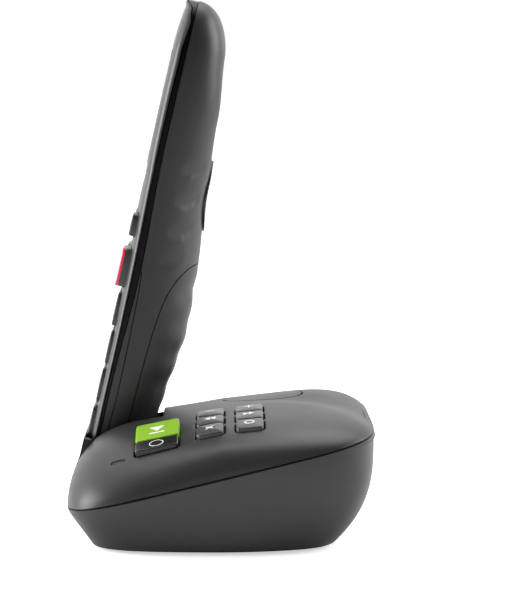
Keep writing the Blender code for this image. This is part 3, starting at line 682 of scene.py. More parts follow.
def base_openings():
    """Cutters of the openings in the deck."""
    cutters = []
    for row in FUNCTION_ROWS:
        for column in FUNCTION_COLUMNS:
            stand = key_frame(f"{row}_{column}_key")
            width, length = (size + 2 * KEY_GAP for size in FUNCTION_KEY)
            cutters.append(opening_cutter(
                f"{row}_{column}_opening",
                lambda grow, w=width, l=length: rounded(w + 2 * grow, l + 2 * grow, 1.9 * MM + grow, 6, 4),
                deck_lift(stand)))
    stand = key_frame("play_key")
    shift = (POWER_KEY[0] + KEY_GAP) / 2
    width, length = PLAY_KEY[0] + POWER_KEY[0] + 4 * KEY_GAP, PLAY_KEY[1] + 2 * KEY_GAP
    cutters.append(opening_cutter(
        "play_opening",
        lambda grow: [(a + shift, b) for a, b in
                      rounded(width + 2 * grow, length + 2 * grow, 1.6 * MM + grow, 6, 8)],
        deck_lift(stand)))
    return cutters


SPEAKER = (-16.0 * MM, 14.4 * MM, 13.3 * MM)
MICROPHONE = (45.2 * MM, -32.7 * MM)


def deck_frame(x, y):
    """Frame on the deck over (x, y): Z square to the surface, X across the base."""
    step = 1.0 * MM
    rise_x = (deck_height(x + step, y) - deck_height(x - step, y)) / (2 * step)
    rise_y = (deck_height(x, y + step) - deck_height(x, y - step)) / (2 * step)
    up = Vector((-rise_x, -rise_y, 1)).normalized()
    across = Vector((up.z, 0, -up.x)).normalized()
    place = Matrix((across, up.cross(across), up)).transposed().to_4x4()
    return Matrix.Translation((x, y, deck_height(x, y))) @ place


def hole_pattern(name, lift, rings, pitch, radius, depth):
    """Round perforations on rings `pitch` apart, as one cutter of separate plugs."""
    bm = bmesh.new()
    spots = [(0.0, 0.0)]
    for ring in range(1, rings + 1):
        count = 6 * ring
        spots += [(ring * pitch * math.cos(2 * math.pi * k / count),
                   ring * pitch * math.sin(2 * math.pi * k / count)) for k in range(count)]
    for a, b in spots:
        loops = []
        for level in (-depth, 2 * MM):
            loops.append([bm.verts.new(lift(a + x, b + y, level)) for x, y in disc_outline(radius, 12)])
        for k in range(12):
            bm.faces.new((loops[0][k], loops[0][(k + 1) % 12], loops[1][(k + 1) % 12], loops[1][k]))
        bm.faces.new(reversed(loops[0]))
        bm.faces.new(loops[1])
    bmesh.ops.recalc_face_normals(bm, faces=bm.faces)
    return new_object(name, mesh_from(name, bm))


def base_cover():
    cover = sheet("base_deck", (BASE_CELLS, BASE_CELLS), BASE_CORNER, deck_point, "base_plastic",
                  wall=BASE_WALL, rim=turned_in(1))
    boolean(cover, prism("cradle_opening", well_outline(OPENING_TOP), WELL_FRONT, WELL_REAR, across=True))
    for cutter in base_openings():
        boolean(cover, cutter)
    speaker = deck_frame(SPEAKER[0], SPEAKER[1])
    boolean(cover, opening_cutter("speaker_opening", lambda grow: disc_outline(SPEAKER[2] + 0.55 * MM + grow),
                                  deck_lift(speaker), 0.2 * MM))
    mic = deck_frame(*MICROPHONE)
    boolean(cover, opening_cutter("microphone_opening",
                                  lambda grow: rounded(1.6 * MM + 2 * grow, 4.8 * MM + 2 * grow,
                                                       0.8 * MM + grow, 8, 2),
                                  deck_lift(mic), 0.12 * MM))
    ride(evaluated(cover), "base", "base_plastic", "base_top_cover")
    disc = sheet("speaker_disc", (BASE_CELLS, BASE_CELLS), BASE_CORNER, deck_point, "base_plastic",
                 wall=BASE_WALL)
    lift = deck_lift(speaker)
    rings = [[lift(a, b, level) for a, b in disc_outline(SPEAKER[2])] for level in (-6 * MM, 4 * MM)]
    boolean(disc, loft("speaker_slug", rings), "INTERSECT")
    ride(evaluated(disc), "base", "base_plastic", "speaker_cover")
    # the microphone's cap closes the slot just below its rim
    cap = key_cap("microphone_cap", 0.9 * MM, 4.1 * MM, 1.4 * MM, 0.45 * MM, 0.15 * MM, "base_plastic",
                  mic @ Matrix.Translation((0, 0, -0.15 * MM)))
    ride(cap, "base", "base_plastic")


SOCKETS = {"line_jack": (-14 * MM, 9.6 * MM, 7.0 * MM), "power_jack": (10 * MM, 7.0 * MM, 7.0 * MM)}
SOCKET_LEVEL, SOCKET_FACE, SOCKET_DEPTH = 19.0 * MM, 42.6 * MM, 13.0 * MM
REAR_TURN = Matrix.Rotation(math.radians(-90), 4, "X")       # lays a frame's Z along +Y
FEET = {"front_left": (-36.0 * MM, -28.0 * MM), "front_right": (36.0 * MM, -28.0 * MM),
        "rear_left": (-36.0 * MM, 24.0 * MM), "rear_right": (36.0 * MM, 24.0 * MM)}
FOOT_SEAT = 5.8 * MM
SCREWS, SCREW_Y, SCREW_HOLE = {"left": -20.0 * MM, "right": 20.0 * MM}, 26.0 * MM, 2.6 * MM


def base_bottom():
    hull = sheet("base_hull", (BASE_CELLS, BASE_CELLS), BASE_CORNER, hull_point, "base_plastic",
                 flip=True, wall=BASE_WALL, rim=turned_in(-1))
    for name, (x, width, height) in SOCKETS.items():
        stand = Matrix.Translation((x, 46 * MM, SOCKET_LEVEL)) @ REAR_TURN
        rings = [[stand @ Vector((a, b, level)) for a, b in rounded(width, height, 0.8 * MM)]
                 for level in (-12 * MM, 12 * MM)]
        boolean(hull, loft(f"{name}_window", rings))
    for name, (x, y) in FEET.items():
        boolean(hull, plug(f"{name}_seat", disc_outline(FOOT_SEAT, 48), -2 * MM, 1.8 * MM, (x, y)))
    for side, x in SCREWS.items():
        boolean(hull, plug(f"screw_hole_{side}", disc_outline(SCREW_HOLE, 40), -2 * MM, 4 * MM,
                           (x, SCREW_Y)))
    ride(evaluated(hull), "base", "base_plastic", "base_bottom_shell")


def turned(name, profile, look, place, sides=48):
    """Solid of revolution about the frame's Z; the profile is (radius, height) in millimetres, bottom up."""
    rings = [[(x, y, level * MM) for x, y in disc_outline(radius * MM, sides)] for radius, level in profile]
    return loft(name, rings, look, place, angle=40)


def feet_and_screws():
    groove = [(0.8, 0.25), (3.2, 0.25), (3.35, 0.05), (3.5, 0.0)]
    profile = [(4.9, 0.0), (5.25, 0.1), (5.45, 0.35), (5.5, 0.7), (5.5, 1.5)]
    for name, (x, y) in FEET.items():
        foot = turned(f"foot_{name}_pad", groove + profile, "rubber", Matrix.Translation((x, y, 0)))
        ride(foot, "base", "rubber", f"foot_{name}")
    for side, x in SCREWS.items():
        place = Matrix.Translation((x, SCREW_Y, 0))
        head = turned(f"screw_{side}_head", ((1.3, 1.4), (1.8, 1.5), (2.1, 1.8), (2.2, 2.2), (2.2, 3.4)),
                      "steel", place)
        for turn in (0, 90):
            across = Matrix.Translation((0, 0, 2.2 * MM)) @ Matrix.Rotation(math.radians(turn), 4, "Z")
            boolean(head, key_cap(f"slot_{side}_{turn}", 2.4 * MM, 0.6 * MM, 1.0 * MM, 0.1 * MM,
                                  0.05 * MM, None, place @ across))
        ride(evaluated(head), "base", "steel", f"base_screw_{side}")


def cradle_well():
    """Tub under the opening, following the deck's underside, with slots for the charging contacts."""
    floor = HANDSET_BOTTOM - WELL_CLEARANCE
    half, wall = HANDSET_HALF_WIDTH + WELL_CLEARANCE, 1.5 * MM
    tub_top = 8.0 * MM
    outer = [(-half, floor - wall), (half, floor - wall), (half, tub_top), (-half, tub_top)]
    tub = prism("cradle_tub", outer, WELL_FRONT, WELL_REAR + wall, across=True)
    tub.data.materials.append(LOOKS["cradle_plastic"])
    boolean(tub, prism("well_space", well_outline(OPENING_TOP), WELL_FRONT - 20 * MM, WELL_REAR,
                       across=True))
    under = sheet("under_deck", (48, 48), BASE_CORNER, deck_point, None, wall=16.0 * MM)
    under.modifiers["Solidify"].offset = 1.0 - 2.0 * (BASE_WALL + 2 * GAP) / (16.0 * MM)
    boolean(tub, evaluated(under))
    for side in (-1, 1):
        boolean(tub, plug(f"pin_slot_{side}", rounded(3.6 * MM, 5.6 * MM, 0.6 * MM), floor - 4 * MM,
                          floor + 2 * MM, (side * CONTACT_X, CONTACT_DEPTH), HANDSET))
    ride(evaluated(tub), "base", "cradle_plastic", "cradle_well")
    for side, name in ((-1, "left"), (1, "right")):
        contact = key_cap(f"contact_{name}", 3.0 * MM, 5.0 * MM, 3.4 * MM, 0.5 * MM, 0.45 * MM,
                          "contact_metal",
                          in_handset(side * CONTACT_X, CONTACT_DEPTH, floor + 0.15 * MM),
                          bulge=0.25 * MM)
        ride(contact, "base", "contact_metal", f"charge_contact_{name}")


def cradle_lip():
    """Thin upstanding rim in front of the handset's foot, with a cheek at each end."""
    sections = []
    for x, z, rear in [(28.3, -3.0, -2.2), (28.2, -0.6, -1.8), (27.8, 0.2, -1.6), (27.0, 0.6, -1.6),
                       (26.9, 0.8, -3.85), (22.5, 1.0, -3.85)]:
        profile = [(-4.5, -9.5), (-4.45, z - 0.5), (-4.3, z - 0.1), (-4.1, z), (rear - 0.1, z - 0.1),
                   (rear, z - 0.5), (rear, -9.5)]
        sections.append([(x * MM, depth * MM, level * MM) for depth, level in profile])
    sections += [[(-x, depth, level) for x, depth, level in section] for section in reversed(sections)]
    ride(loft("cradle_lip", sections, "base_plastic", HANDSET), "base", "base_plastic")


def socket_housings():
    for name, (x, width, height) in SOCKETS.items():
        stand = Matrix.Translation((x, SOCKET_FACE, SOCKET_LEVEL)) @ REAR_TURN
        housing = key_cap(f"{name}_housing", width + 3 * MM, height + 3 * MM, SOCKET_DEPTH, 0.8 * MM,
                          0.25 * MM, "socket_plastic", stand)
        cavity = [[(a, b, level) for a, b in rounded(width - 2 * inset, height - 2 * inset, 0.5 * MM)]
                  for level, inset in ((-11.5 * MM, 0.0), (-0.4 * MM, 0.0), (0.4 * MM, -0.5 * MM))]
        boolean(housing, loft(f"{name}_cavity", cavity, place=stand))
        if name == "line_jack":
            boolean(housing, plug("latch_notch", rounded(3.4 * MM, 2.0 * MM, 0.2 * MM), -8 * MM, 1 * MM,
                                  (0.0, height / 2), stand))
        ride(evaluated(housing), "base", "socket_plastic", name)
    line_x = SOCKETS["line_jack"][0]
    for k in range(4):
        x = line_x + (k - 1.5) * 1.3 * MM
        points = [(SOCKET_FACE - 11.2 * MM, -2.6 * MM), (SOCKET_FACE - 4 * MM, -2.4 * MM),
                  (SOCKET_FACE - 3.4 * MM, -1.6 * MM), (SOCKET_FACE - 10.6 * MM, 0.8 * MM)]
        wire = [[(x + a, y, SOCKET_LEVEL + z + b) for a, b in disc_outline(0.22 * MM, 10)]
                for y, z in points]
        ride(loft(f"line_spring_{k + 1}", wire, "contact_metal"), "base", "contact_metal")
    stand = Matrix.Translation((SOCKETS["power_jack"][0], SOCKET_FACE, SOCKET_LEVEL)) @ REAR_TURN
    pin = turned("power_pin", ((0.7, -11.4), (0.7, -3.6), (0.55, -3.3), (0.3, -3.15)), "contact_metal",
                 stand, 24)
    ride(pin, "base", "contact_metal")


FUNCTION_MARKS = {
    "front_right_key": [bar(0, 0, 3.4 * MM, 0.5 * MM, math.radians(turn)) for turn in (45, -45)],
    "front_middle_key": [[(-1.7 * MM, 0), (0.1 * MM, -1.4 * MM), (0.1 * MM, 1.4 * MM)],
                         [(0.1 * MM, 0), (1.9 * MM, -1.4 * MM), (1.9 * MM, 1.4 * MM)]],
    "front_left_key": [bar(0, 0, 3.0 * MM, 0.5 * MM)],
    "rear_right_key": ring_shape(1.4 * MM, 0.5 * MM),
    "rear_middle_key": [[(1.7 * MM, 0), (-0.1 * MM, 1.4 * MM), (-0.1 * MM, -1.4 * MM)],
                        [(-0.1 * MM, 0), (-1.9 * MM, 1.4 * MM), (-1.9 * MM, -1.4 * MM)]],
    "rear_left_key": [bar(0, 0, 3.0 * MM, 0.5 * MM), bar(0, 0.95 * MM, 0.5 * MM, 1.4 * MM),
                      bar(0, -0.95 * MM, 0.5 * MM, 1.4 * MM)],
}


def base_keys():
    raised = Matrix.Translation((0, 0, BASE_KEY_PROUD))
    bulge = 0.35 * MM
    for row in FUNCTION_ROWS:
        for column in FUNCTION_COLUMNS:
            name = f"{row}_{column}_key"
            place = key_frame(name) @ raised
            width, length = FUNCTION_KEY
            cap = key_cap(f"{name}_cap", width, length, BASE_KEY_DEPTH, 1.5 * MM, 0.7 * MM, "grey_key",
                          place, bulge=bulge, draft=0.1 * MM)
            ride(cap, name, "grey_key", name)
            print_on(f"{name}_mark", FUNCTION_MARKS[name], place @ Matrix.Rotation(math.pi / 2, 4, "Z"),
                     name, "grey_key",
                     height=lambda a, b: bulge * (1 - min((2 * max(abs(a), abs(b)) / length) ** 2, 1)))
    for name, (width, length), look in (("play_key", PLAY_KEY, "green_key"),
                                        ("power_key", POWER_KEY, "black_key")):
        place = key_frame(name) @ raised
        cap = key_cap(f"{name}_cap", width, length, BASE_KEY_DEPTH, 1.2 * MM, 0.45 * MM, look, place)
        ride(cap, name, look, name)
    turn = Matrix.Rotation(math.pi / 2, 4, "Z")
    play = key_frame("play_key") @ raised @ turn
    triangle = [(2.5 * MM, 2.6 * MM), (-2.5 * MM, 2.6 * MM), (0, -1.0 * MM)]
    print_on("play_mark", [triangle, bar(0, -2.4 * MM, 5.0 * MM, 0.9 * MM)],
             play, "play_key", "green_key")
    power = key_frame("power_key") @ raised @ turn
    print_on("power_mark", ring_shape(2.2 * MM, 0.3 * MM),
             power, "power_key", "black_key")


# ---------------------------------------------------------------- handset

def handset_place(depth_at, dents=False):
    def place(reach, px, py):
        radius = 1.0 - (1.0 - reach) ** 2.0
        x = HANDSET_HALF_WIDTH * radius * px
        height = HANDSET_MIDDLE + HANDSET_HALF_LENGTH * radius * py
        depth = depth_at(x, height)
        if dents:
            scoop = finger_scoop(height, depth)
            x -= math.copysign(scoop * 0.8, x)
            depth -= scoop * 0.6
        return x, depth, height
    return place


SCOOPS = ((95.5, 11.2, 1.0), (85.0, 11.4, 1.05), (74.3, 11.4, 1.0), (64.6, 10.6, 0.5))
SCOOP_LENGTH, SCOOP_WIDTH = 4.6 * MM, 3.0 * MM
SCOOP_TURN = math.radians(38)


def finger_scoop(height, depth):
    """Depth of the shallow grips in the handset's sides: soft above, crisp along the lower rear edge."""
    total = 0.0
    for level, place, deep in SCOOPS:
        a, b = height - level * MM, depth - place * MM
        steep = -a * math.cos(SCOOP_TURN) + b * math.sin(SCOOP_TURN)
        wide = a * math.sin(SCOOP_TURN) + b * math.cos(SCOOP_TURN)
        radius = math.hypot(steep / SCOOP_WIDTH, wide / SCOOP_LENGTH)
        if radius < 1:
            lean = (1 + steep / SCOOP_WIDTH) / 2
            total += deep * MM * lean ** 1.3 * (1 - radius * radius) ** 0.5
    return total


def handset_openings(front):
    """Cuts the front frame for the keys, the window and the earpiece."""
    def cut(name, x, height, width, length, corner):
        def outline(grow):
            return rounded(width + 2 * grow, length + 2 * grow, corner + grow, 6, 3)
        boolean(front, opening_cutter(name, outline, front_lift(x, height), 0.22 * MM, place=HANDSET))
    for name, x, height, width, length, *_ in handset_key_layout():
        cut(f"{name}_opening", x, height, width + 2 * KEY_GAP, length + 2 * KEY_GAP, KEY_CORNER + KEY_GAP)
    cut("window_opening", 0.0, DISPLAY_HEIGHT, 38.0 * MM + 2 * GAP, 35.0 * MM + 2 * GAP, 2.4 * MM)
    cut("earpiece_opening", 0.0, EARPIECE_HEIGHT, 14.6 * MM, 2.8 * MM, 1.35 * MM)


def prism_seam(edge):
    far = 40 * MM
    (low, low_depth), *upper = COVER_SEAM
    fine = smooth_points([(d, h) for h, d in upper], 6)
    seam = [(d * MM + edge * 0.9, h * MM - edge * 0.7) for d, h in fine]
    return [(low_depth * MM + edge, low * MM + edge), *seam, (24.0 * MM + far, 24.0 * MM),
            (27.0 * MM, 14.0 * MM + edge)]


def smooth_points(points, steps):
    """Catmull-Rom curve through the points."""
    made = []
    padded = [points[0], *points, points[-1]]
    for p0, p1, p2, p3 in zip(padded, padded[1:], padded[2:], padded[3:]):
        for k in range(steps):
            t = k / steps
            made.append(tuple(0.5 * (2 * b + (c - a) * t + (2 * a - 5 * b + 4 * c - d) * t * t
                                     + (3 * b - a - 3 * c + d) * t ** 3)
                              for a, b, c, d in zip(p0, p1, p2, p3)))
    return made + [points[-1]]


INSERT_HEIGHT, INSERT_RADIUS, INSERT_PROUD = 86.5 * MM, 12.0 * MM, 0.8 * MM
INSERT_RING = ((12.05, -0.9), (12.05, 0.0), (12.15, 0.08), (12.9, 0.08), (13.0, 0.0), (13.0, -0.9))


def handset_shells():
    front = sheet("front_frame_shell", HANDSET_CELLS, HANDSET_CORNER, handset_place(front_depth),
                  "frame_plastic", wall=FRAME_WALL, world=HANDSET)
    handset_openings(front)
    ride(evaluated(front), "handset", "frame_plastic", "handset_front_frame")

    def rear(name):
        return sheet(name, HANDSET_CELLS, HANDSET_CORNER, handset_place(rear_depth, True),
                     "handset_plastic", flip=True, wall=HANDSET_WALL, world=HANDSET)
    far = 40 * MM

    def chin(edge):
        seam = [(d * MM + edge, h * MM) for d, h in smooth_points([(d, h) for h, d in CHIN_SEAM], 6)]
        (first, _), (last, top) = seam[0], seam[-1]
        return [(-far, -far), (first, -far), *seam[:-1], (last, top + edge), (-far, top + edge)]
    hole_place = in_handset(0, 20 * MM, INSERT_HEIGHT) @ FRONT_TURN

    def slug(name, radius):
        return plug(name, disc_outline(radius), -10 * MM, 10 * MM, place=hole_place)
    shell = rear("rear_shell")
    boolean(shell, prism("chin_space", chin(GAP / 2), -far, far))
    boolean(shell, prism("cover_space", prism_seam(-GAP / 2), -far, far))
    boolean(shell, slug("insert_hole", 13.1 * MM))
    for side in (-1, 1):
        boolean(shell, plug(f"pad_slot_{side}", rounded(5.6 * MM, 4.6 * MM, 0.4 * MM), -15 * MM, -6.7 * MM,
                            (side * CONTACT_X, CONTACT_DEPTH), HANDSET))
    ride(evaluated(shell), "handset", "handset_plastic", "handset_rear_shell")
    strip = rear("chin_strip")
    boolean(strip, prism("chin_slab", chin(-GAP / 2), -far, far), "INTERSECT")
    ride(evaluated(strip), "handset", "handset_plastic", "chin_frame")
    cover = rear("battery_lid")
    boolean(cover, prism("cover_slab", prism_seam(GAP / 2), -far, far), "INTERSECT")
    ride(evaluated(cover), "battery_cover", "handset_plastic", "battery_cover")
    insert = rear("rear_grille")
    boolean(insert, slug("insert_disc", INSERT_RADIUS), "INTERSECT")

    def lift_local(a, b, height):
        level = INSERT_HEIGHT + b
        return Vector((a, rear_depth(a, level) + height, level))

    def lift(a, b, height):
        return HANDSET @ lift_local(a, b, height)
    boolean(insert, hole_pattern("insert_holes", lift, 3, 2.4 * MM, 0.55 * MM, 5 * MM))
    insert = evaluated(insert)
    insert.data.transform(Matrix.Translation((0, INSERT_PROUD, 0)))
    ride(insert, "handset", "handset_plastic", "rear_insert")
    # ring filling the gap round the insert, coloured near-black as painted shade of the gap
    turns = [2 * math.pi * k / 120 for k in range(120)]
    sections = [[lift_local(radius * MM * math.cos(turn), radius * MM * math.sin(turn), level * MM)
                 for radius, level in INSERT_RING] for turn in turns]
    ride(loft("painted_shade_ring", sections, "painted_shade_ring", HANDSET, closed=True), "handset", "handset_plastic")


def side_band():
    """Glossy strip round the handset between the front frame and the rear shell."""
    steps, inset, thick, edge = 300, 0.25 * MM, 2.2 * MM, 0.15 * MM
    tongue, reach = 1.4 * MM, 1.0 * MM      # behind the front frame's edge
    sections = []
    for k in range(steps):
        angle = 2 * math.pi * k / steps
        turn_x, turn_y = math.cos(angle), math.sin(angle)
        size = (abs(turn_x) ** HANDSET_CORNER + abs(turn_y) ** HANDSET_CORNER) ** (-1 / HANDSET_CORNER)

        def point(sink, depth):
            x = (HANDSET_HALF_WIDTH - inset - sink) * turn_x * size
            height = HANDSET_MIDDLE + (HANDSET_HALF_LENGTH - inset - sink) * turn_y * size
            return x, depth, height
        height = point(0, 0)[2]
        front, rear = along(FRONT_EDGE, height) + GAP, along(REAR_EDGE, height) - GAP / 2
        middle = (front + rear) / 2
        up = front - reach * (1 - smooth_step(128 * MM, 138 * MM, height))
        sections.append([point(thick, up), point(tongue, up), point(tongue, front),
                         point(edge, front), point(0.03 * MM, front + edge),
                         point(0, middle), point(0.03 * MM, rear - edge), point(edge, rear),
                         point(thick, rear)])
    band = loft("band", sections, "black_band", HANDSET, closed=True)
    ride(band, "handset", "black_band", "side_band")


KEY_CORNER = 1.8 * MM


def handset_key_layout():
    """Name, x, height, width, length, how far it stands out of the face, and finish."""
    layout = []
    for names, height in zip(DIGIT_NAMES, DIGIT_ROWS):
        for name, x in zip(names, DIGIT_COLUMNS):
            layout.append((f"digit_key_{name}", x, height, *DIGIT_KEY, 1.0 * MM, "digit_key"))
    return layout + [
        ("call_key", -13.2 * MM, 58.0 * MM, 19.0 * MM, 12.8 * MM, 1.8 * MM, "call_key"),
        ("end_key", 13.2 * MM, 58.0 * MM, 19.0 * MM, 12.8 * MM, 2.6 * MM, "end_key"),
        ("left_side_key", -17.4 * MM, 72.6 * MM, 10.6 * MM, 7.6 * MM, 1.1 * MM, "digit_key"),
        ("right_side_key", 17.4 * MM, 72.6 * MM, 10.6 * MM, 7.6 * MM, 1.1 * MM, "digit_key"),
        ("navigation_key", 0.0, 76.4 * MM, 19.6 * MM, 13.4 * MM, 0.3 * MM, "navigation_key"),
        ("left_display_key", -12.4 * MM, 90.2 * MM, 15.4 * MM, 5.6 * MM, -0.5 * MM, "digit_key"),
        ("right_display_key", 12.4 * MM, 90.2 * MM, 15.4 * MM, 5.6 * MM, -0.5 * MM, "digit_key")]


FRONT_TURN = Matrix.Rotation(math.radians(90), 4, "X")       # Z out of the front face, Y up the handset
CAP_LAYER = 1.3 * MM                # coloured layer of the call and end keys
TROUGH = 0.45 * MM                  # hollow across them


def handset_keys():
    for name, x, height, width, length, proud, look in handset_key_layout():
        face = along(FRONT_FACE, height) - proud
        place = in_handset(x, face, height) @ FRONT_TURN
        depth = KEY_FOOT - face
        bulge = {"call_key": -0.1 * MM, "end_key": -0.1 * MM, "digit_key": 0.2 * MM,
                 "navigation_key": -0.35 * MM}[look]
        if look in ("call_key", "end_key"):    # a grey body with a coloured cap moulded onto it
            body = key_cap(f"{name}_body", width, length, depth - CAP_LAYER, KEY_CORNER, 0.12 * MM, "key_rim",
                           place @ Matrix.Translation((0, 0, -CAP_LAYER)))
            ride(body, name, look, name)
            cap = key_cap(f"{name}_cap", width, length, CAP_LAYER, KEY_CORNER, 0.5 * MM, look, place, bulge,
                          trough=TROUGH)
            ride(cap, name, look)
        else:
            cap = key_cap(f"{name}_cap", width, length, depth, KEY_CORNER, 0.45 * MM, look, place, bulge)
            ride(cap, name, look, name)

        hollow = TROUGH if look in ("call_key", "end_key") else 0.0

        def top(a, b, w=width - 0.9 * MM, l=length - 0.9 * MM, bulge=bulge, hollow=hollow, length=length):
            return bulge * (1 - min(max(abs(2 * a / w), abs(2 * b / l)), 1) ** 2) - hollow * (
                1 - (2 * b / length) ** 2)
        if look in ("call_key", "end_key"):
            glyph = handset_shape(6.4 * MM, 0.0 if look == "end_key" else math.radians(-38))
            print_on(f"{name}_mark", glyph, place, name, look, height=top)
        elif name.startswith("digit_key_"):
            text = {"star": "*", "hash": "#"}.get(name[10:], name[10:])
            size = {"star": 11.0 * MM, "hash": 7.6 * MM}.get(name[10:], 9.4 * MM)
            print_text(f"{name}_figure", text, size, place, name, look, height=top, weight=0.06)
        elif name == "navigation_key":
            marks = [[(-1.6 * MM, sign * 3.4 * MM), (1.6 * MM, sign * 3.4 * MM), (0, sign * 5.0 * MM)]
                     for sign in (-1, 1)]
            print_on(f"{name}_mark", marks, place, name, look, height=top)
        elif name.endswith("display_key"):
            print_on(f"{name}_mark", [bar(0, 0, 4.0 * MM, 0.6 * MM)], place, name, look, height=top)
        else:
            marks = [bar(0, step * 1.2 * MM, 3.4 * MM, 0.55 * MM) for step in (-1, 0, 1)]
            if name.startswith("left"):
                marks = ring_shape(1.5 * MM, 0.5 * MM)
            print_on(f"{name}_mark", marks, place, name, look, height=top)


def display():
    """Window, printed mask, screen and its figures."""
    def layer(sink):
        face = along(FRONT_FACE, DISPLAY_HEIGHT)
        return in_handset(0, face + sink, DISPLAY_HEIGHT) @ FRONT_TURN
    at, mask_at, screen_at = layer(0.3 * MM), layer(1.25 * MM), layer(1.85 * MM)
    window = key_cap("window_lens", 38 * MM, 35 * MM, 0.9 * MM, 2.1 * MM, 0.3 * MM, "display_window", at,
                     bulge=0.12 * MM)
    ride(window, "handset", "display_window", "display_window")
    mask = key_cap("window_mask", 37.6 * MM, 34.6 * MM, 0.3 * MM, 2.0 * MM, 0.1 * MM, "screen_mask", mask_at)
    boolean(mask, plug("mask_hole", rounded(31 * MM, 25 * MM, 0.8 * MM), -MM, MM, place=mask_at))
    ride(evaluated(mask), "handset", "display_window")
    screen = key_cap("screen", 36 * MM, 33 * MM, 1.5 * MM, 0.6 * MM, 0.1 * MM, "display_module", screen_at)
    ride(screen, "handset", "display_module", "display_module")
    clock = screen_at @ Matrix.Translation((0, 0.5 * MM, 0))
    print_text("screen_time", "12:30", 11.0 * MM, clock, "handset", "display_module", "black_print")
    day = screen_at @ Matrix.Translation((0, -8.2 * MM, 0))
    print_text("screen_date", "14.06", 4.2 * MM, day, "handset", "display_module", "black_print")
    bars = [bar(-13 * MM + k * 1.3 * MM, 8.9 * MM + k * 0.4 * MM, 0.8 * MM, (1.2 + 0.8 * k) * MM)
            for k in range(4)]
    cell = [bar(11.5 * MM, 9.6 * MM, 4.0 * MM, 2.2 * MM), bar(13.9 * MM, 9.6 * MM, 0.6 * MM, 1.1 * MM)]
    print_on("screen_marks", bars + cell, screen_at, "handset", "display_module", "black_print")


def earpiece():
    place = in_handset(0, -3.7 * MM, EARPIECE_HEIGHT) @ FRONT_TURN
    grille = key_cap("earpiece_grille", 14.0 * MM, 2.2 * MM, 1.2 * MM, 1.05 * MM, 0.2 * MM, "screen_mask",
                     place)
    for k in range(6):
        boolean(grille, plug(f"ear_hole_{k}", rounded(1.3 * MM, 1.1 * MM, 0.5 * MM), -0.8 * MM, MM,
                             ((k - 2.5) * 2.0 * MM, 0.0), place))
    ride(evaluated(grille), "handset", "steel", "earpiece")


def battery_bay():
    """Open tray round the two cells, behind the battery cover."""
    def layer(half, low, high, depth):
        return [(x, depth, (low + high) / 2 + z) for x, z in rounded(2 * half, high - low, 1.5 * MM)]
    outer = [layer(13.2 * MM, 2.0 * MM, 63.0 * MM, depth) for depth in (1.7 * MM, 12.6 * MM)]
    inner = [layer(12.2 * MM, 6.0 * MM, 62.0 * MM, depth) for depth in (4.6 * MM, 14.0 * MM)]
    tray = loft("battery_tray", outer, "bay_plastic", HANDSET)
    boolean(tray, loft("tray_space", inner, place=HANDSET))
    ride(evaluated(tray), "handset", "handset_plastic")


def cells_and_pads():
    """Two cells behind the battery cover and the charging pads in the handset's foot."""
    for side, name in ((-1, "left"), (1, "right")):
        place = in_handset(side * 5.7 * MM, 10.4 * MM, 39.6 * MM)
        wrap = turned(f"cell_{name}", ((4.2, -21.9), (4.9, -21.8), (5.2, -21.4), (5.2, 20.6), (4.9, 21.0),
                                       (3.0, 21.05)), "battery_wrap", place)
        ride(wrap, "handset", "battery_wrap", f"battery_{name}")
        cap = turned(f"cell_{name}_end", ((2.9, 20.9), (2.9, 21.2), (1.9, 21.3), (1.85, 21.9), (1.6, 22.0)),
                     "steel", place, 32)
        ride(cap, "handset", "steel")
        pad = key_cap(f"pad_{name}", 5.0 * MM, 4.0 * MM, 1.9 * MM, 0.5 * MM, 0.2 * MM, "contact_metal",
                      in_handset(side * CONTACT_X, CONTACT_DEPTH, -11.7 * MM)
                      @ Matrix.Rotation(math.pi, 4, "X"))
        ride(pad, "handset", "contact_metal", f"charge_pad_{name}")


# ---------------------------------------------------------------- carried-over nodes

CARRIED = {"base_board": "circuit_board", "handset_board": "circuit_board", "base_key_mat": "rubber",
           "handset_key_mat": "rubber", "base_speaker": "steel", "base_microphone": "steel"}


def dress_carried_nodes():
    for node, look in CARRIED.items():
        mesh = frame["nodes"][node].data
        mesh.materials.clear()
        mesh.materials.append(LOOKS[look])


# ---------------------------------------------------------------- studio

FLOOR_SIZE = 30.0
STAGE_GLOW, STAGE_SPILL = 0.62, 0.0  # the floor's own light as the camera sees it, and on the object
SKY_DIM, SKY_BRIGHT = 0.05, 1.2      # the studio's wall on the user's right side, and everywhere else
LIT_POINT = (0.0, 0.0, 0.08)
CAMERA_AT, CAMERA_TARGET, CAMERA_LENS = (0.860, 0.0002, 0.150), (0.0, 0.0144, 0.0765), 154.8


def white_stage():
    """Pale seamless floor, bright enough to run into the white of the studio."""
    nodes = Nodes("stage_paper")
    tone = nodes.mix(nodes.noise(0.4), (0.93, 0.93, 0.93, 1), (0.95, 0.95, 0.95, 1))
    nodes.join(tone, "Base Color")
    nodes.join(tone, "Emission Color")
    seen = nodes.add("ShaderNodeLightPath").outputs["Is Camera Ray"]
    glow = nodes.add("ShaderNodeMapRange", {"Value": seen, "To Min": STAGE_SPILL, "To Max": STAGE_GLOW})
    nodes.join(glow.outputs["Result"], "Emission Strength")
    shader = nodes.shader.inputs
    shader["Roughness"].default_value = 0.95
    shader["Specular IOR Level"].default_value = 0.0
    bm = bmesh.new()
    bm.faces.new([bm.verts.new((x * FLOOR_SIZE, y * FLOOR_SIZE, 0.0))
                  for x, y in ((-1, -1), (1, -1), (1, 1), (-1, 1))])
    floor = new_object("studio_floor", mesh_from("studio_floor", bm))
    floor.data.materials.append(nodes.material)


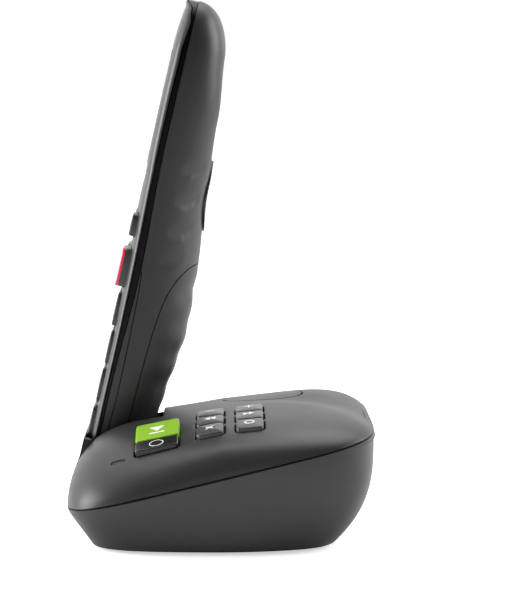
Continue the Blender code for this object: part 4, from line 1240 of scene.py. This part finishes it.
def softbox(name, place, size, power):
    """Square lamp aimed at the middle of the object."""
    lamp = bpy.data.lights.new(name, "AREA")
    lamp.shape = "RECTANGLE"
    lamp.size = lamp.size_y = size
    lamp.energy = power
    holder = bpy.data.objects.new(name, lamp)
    bpy.context.scene.collection.objects.link(holder)
    holder.location = place
    holder.rotation_euler = (Vector(LIT_POINT) - Vector(place)).to_track_quat("-Z", "Y").to_euler()


def studio_light():
    """White room whose wall on the +X side is dark, so that only edges catch the light there."""
    world = bpy.data.worlds.new("studio")
    bpy.context.scene.world = world
    world.use_nodes = True
    tree = world.node_tree
    background = tree.nodes["Background"]
    side = tree.nodes.new("ShaderNodeSeparateXYZ")
    tree.links.new(tree.nodes.new("ShaderNodeTexCoord").outputs["Generated"], side.inputs[0])
    fall = tree.nodes.new("ShaderNodeMapRange")
    fall.interpolation_type = "SMOOTHSTEP"
    for key, value in (("From Min", -0.3), ("From Max", 0.25), ("To Min", SKY_BRIGHT), ("To Max", SKY_DIM)):
        fall.inputs[key].default_value = value
    tree.links.new(side.outputs["X"], fall.inputs["Value"])
    seen = tree.nodes.new("ShaderNodeMix")
    seen.inputs["B"].default_value = 1.0
    tree.links.new(fall.outputs["Result"], seen.inputs["A"])
    tree.links.new(tree.nodes.new("ShaderNodeLightPath").outputs["Is Camera Ray"], seen.inputs["Factor"])
    tree.links.new(seen.outputs["Result"], background.inputs["Strength"])
    background.inputs["Color"].default_value = (1.0, 1.0, 1.0, 1.0)
    softbox("front_box", (0.05, -0.9, 0.30), 0.6, 11.0)
    softbox("rear_box", (-0.1, 0.9, 0.45), 0.7, 7.0)
    softbox("top_box", (-0.25, 0.1, 1.0), 0.8, 5.0)


def camera():
    lens = bpy.data.cameras.new("camera")
    lens.lens = CAMERA_LENS
    lens.clip_start, lens.clip_end = 0.05, 50.0
    holder = bpy.data.objects.new("camera", lens)
    bpy.context.scene.collection.objects.link(holder)
    holder.location = CAMERA_AT
    holder.rotation_euler = (Vector(CAMERA_TARGET) - holder.location).to_track_quat("-Z", "Y").to_euler()
    bpy.context.scene.camera = holder
    bpy.context.scene.view_settings.view_transform = "Standard"


base_cover()
base_bottom()
feet_and_screws()
cradle_well()
cradle_lip()
socket_housings()
base_keys()
handset_shells()
side_band()
handset_keys()
display()
earpiece()
battery_bay()
cells_and_pads()
dress_carried_nodes()
white_stage()
studio_light()
camera()
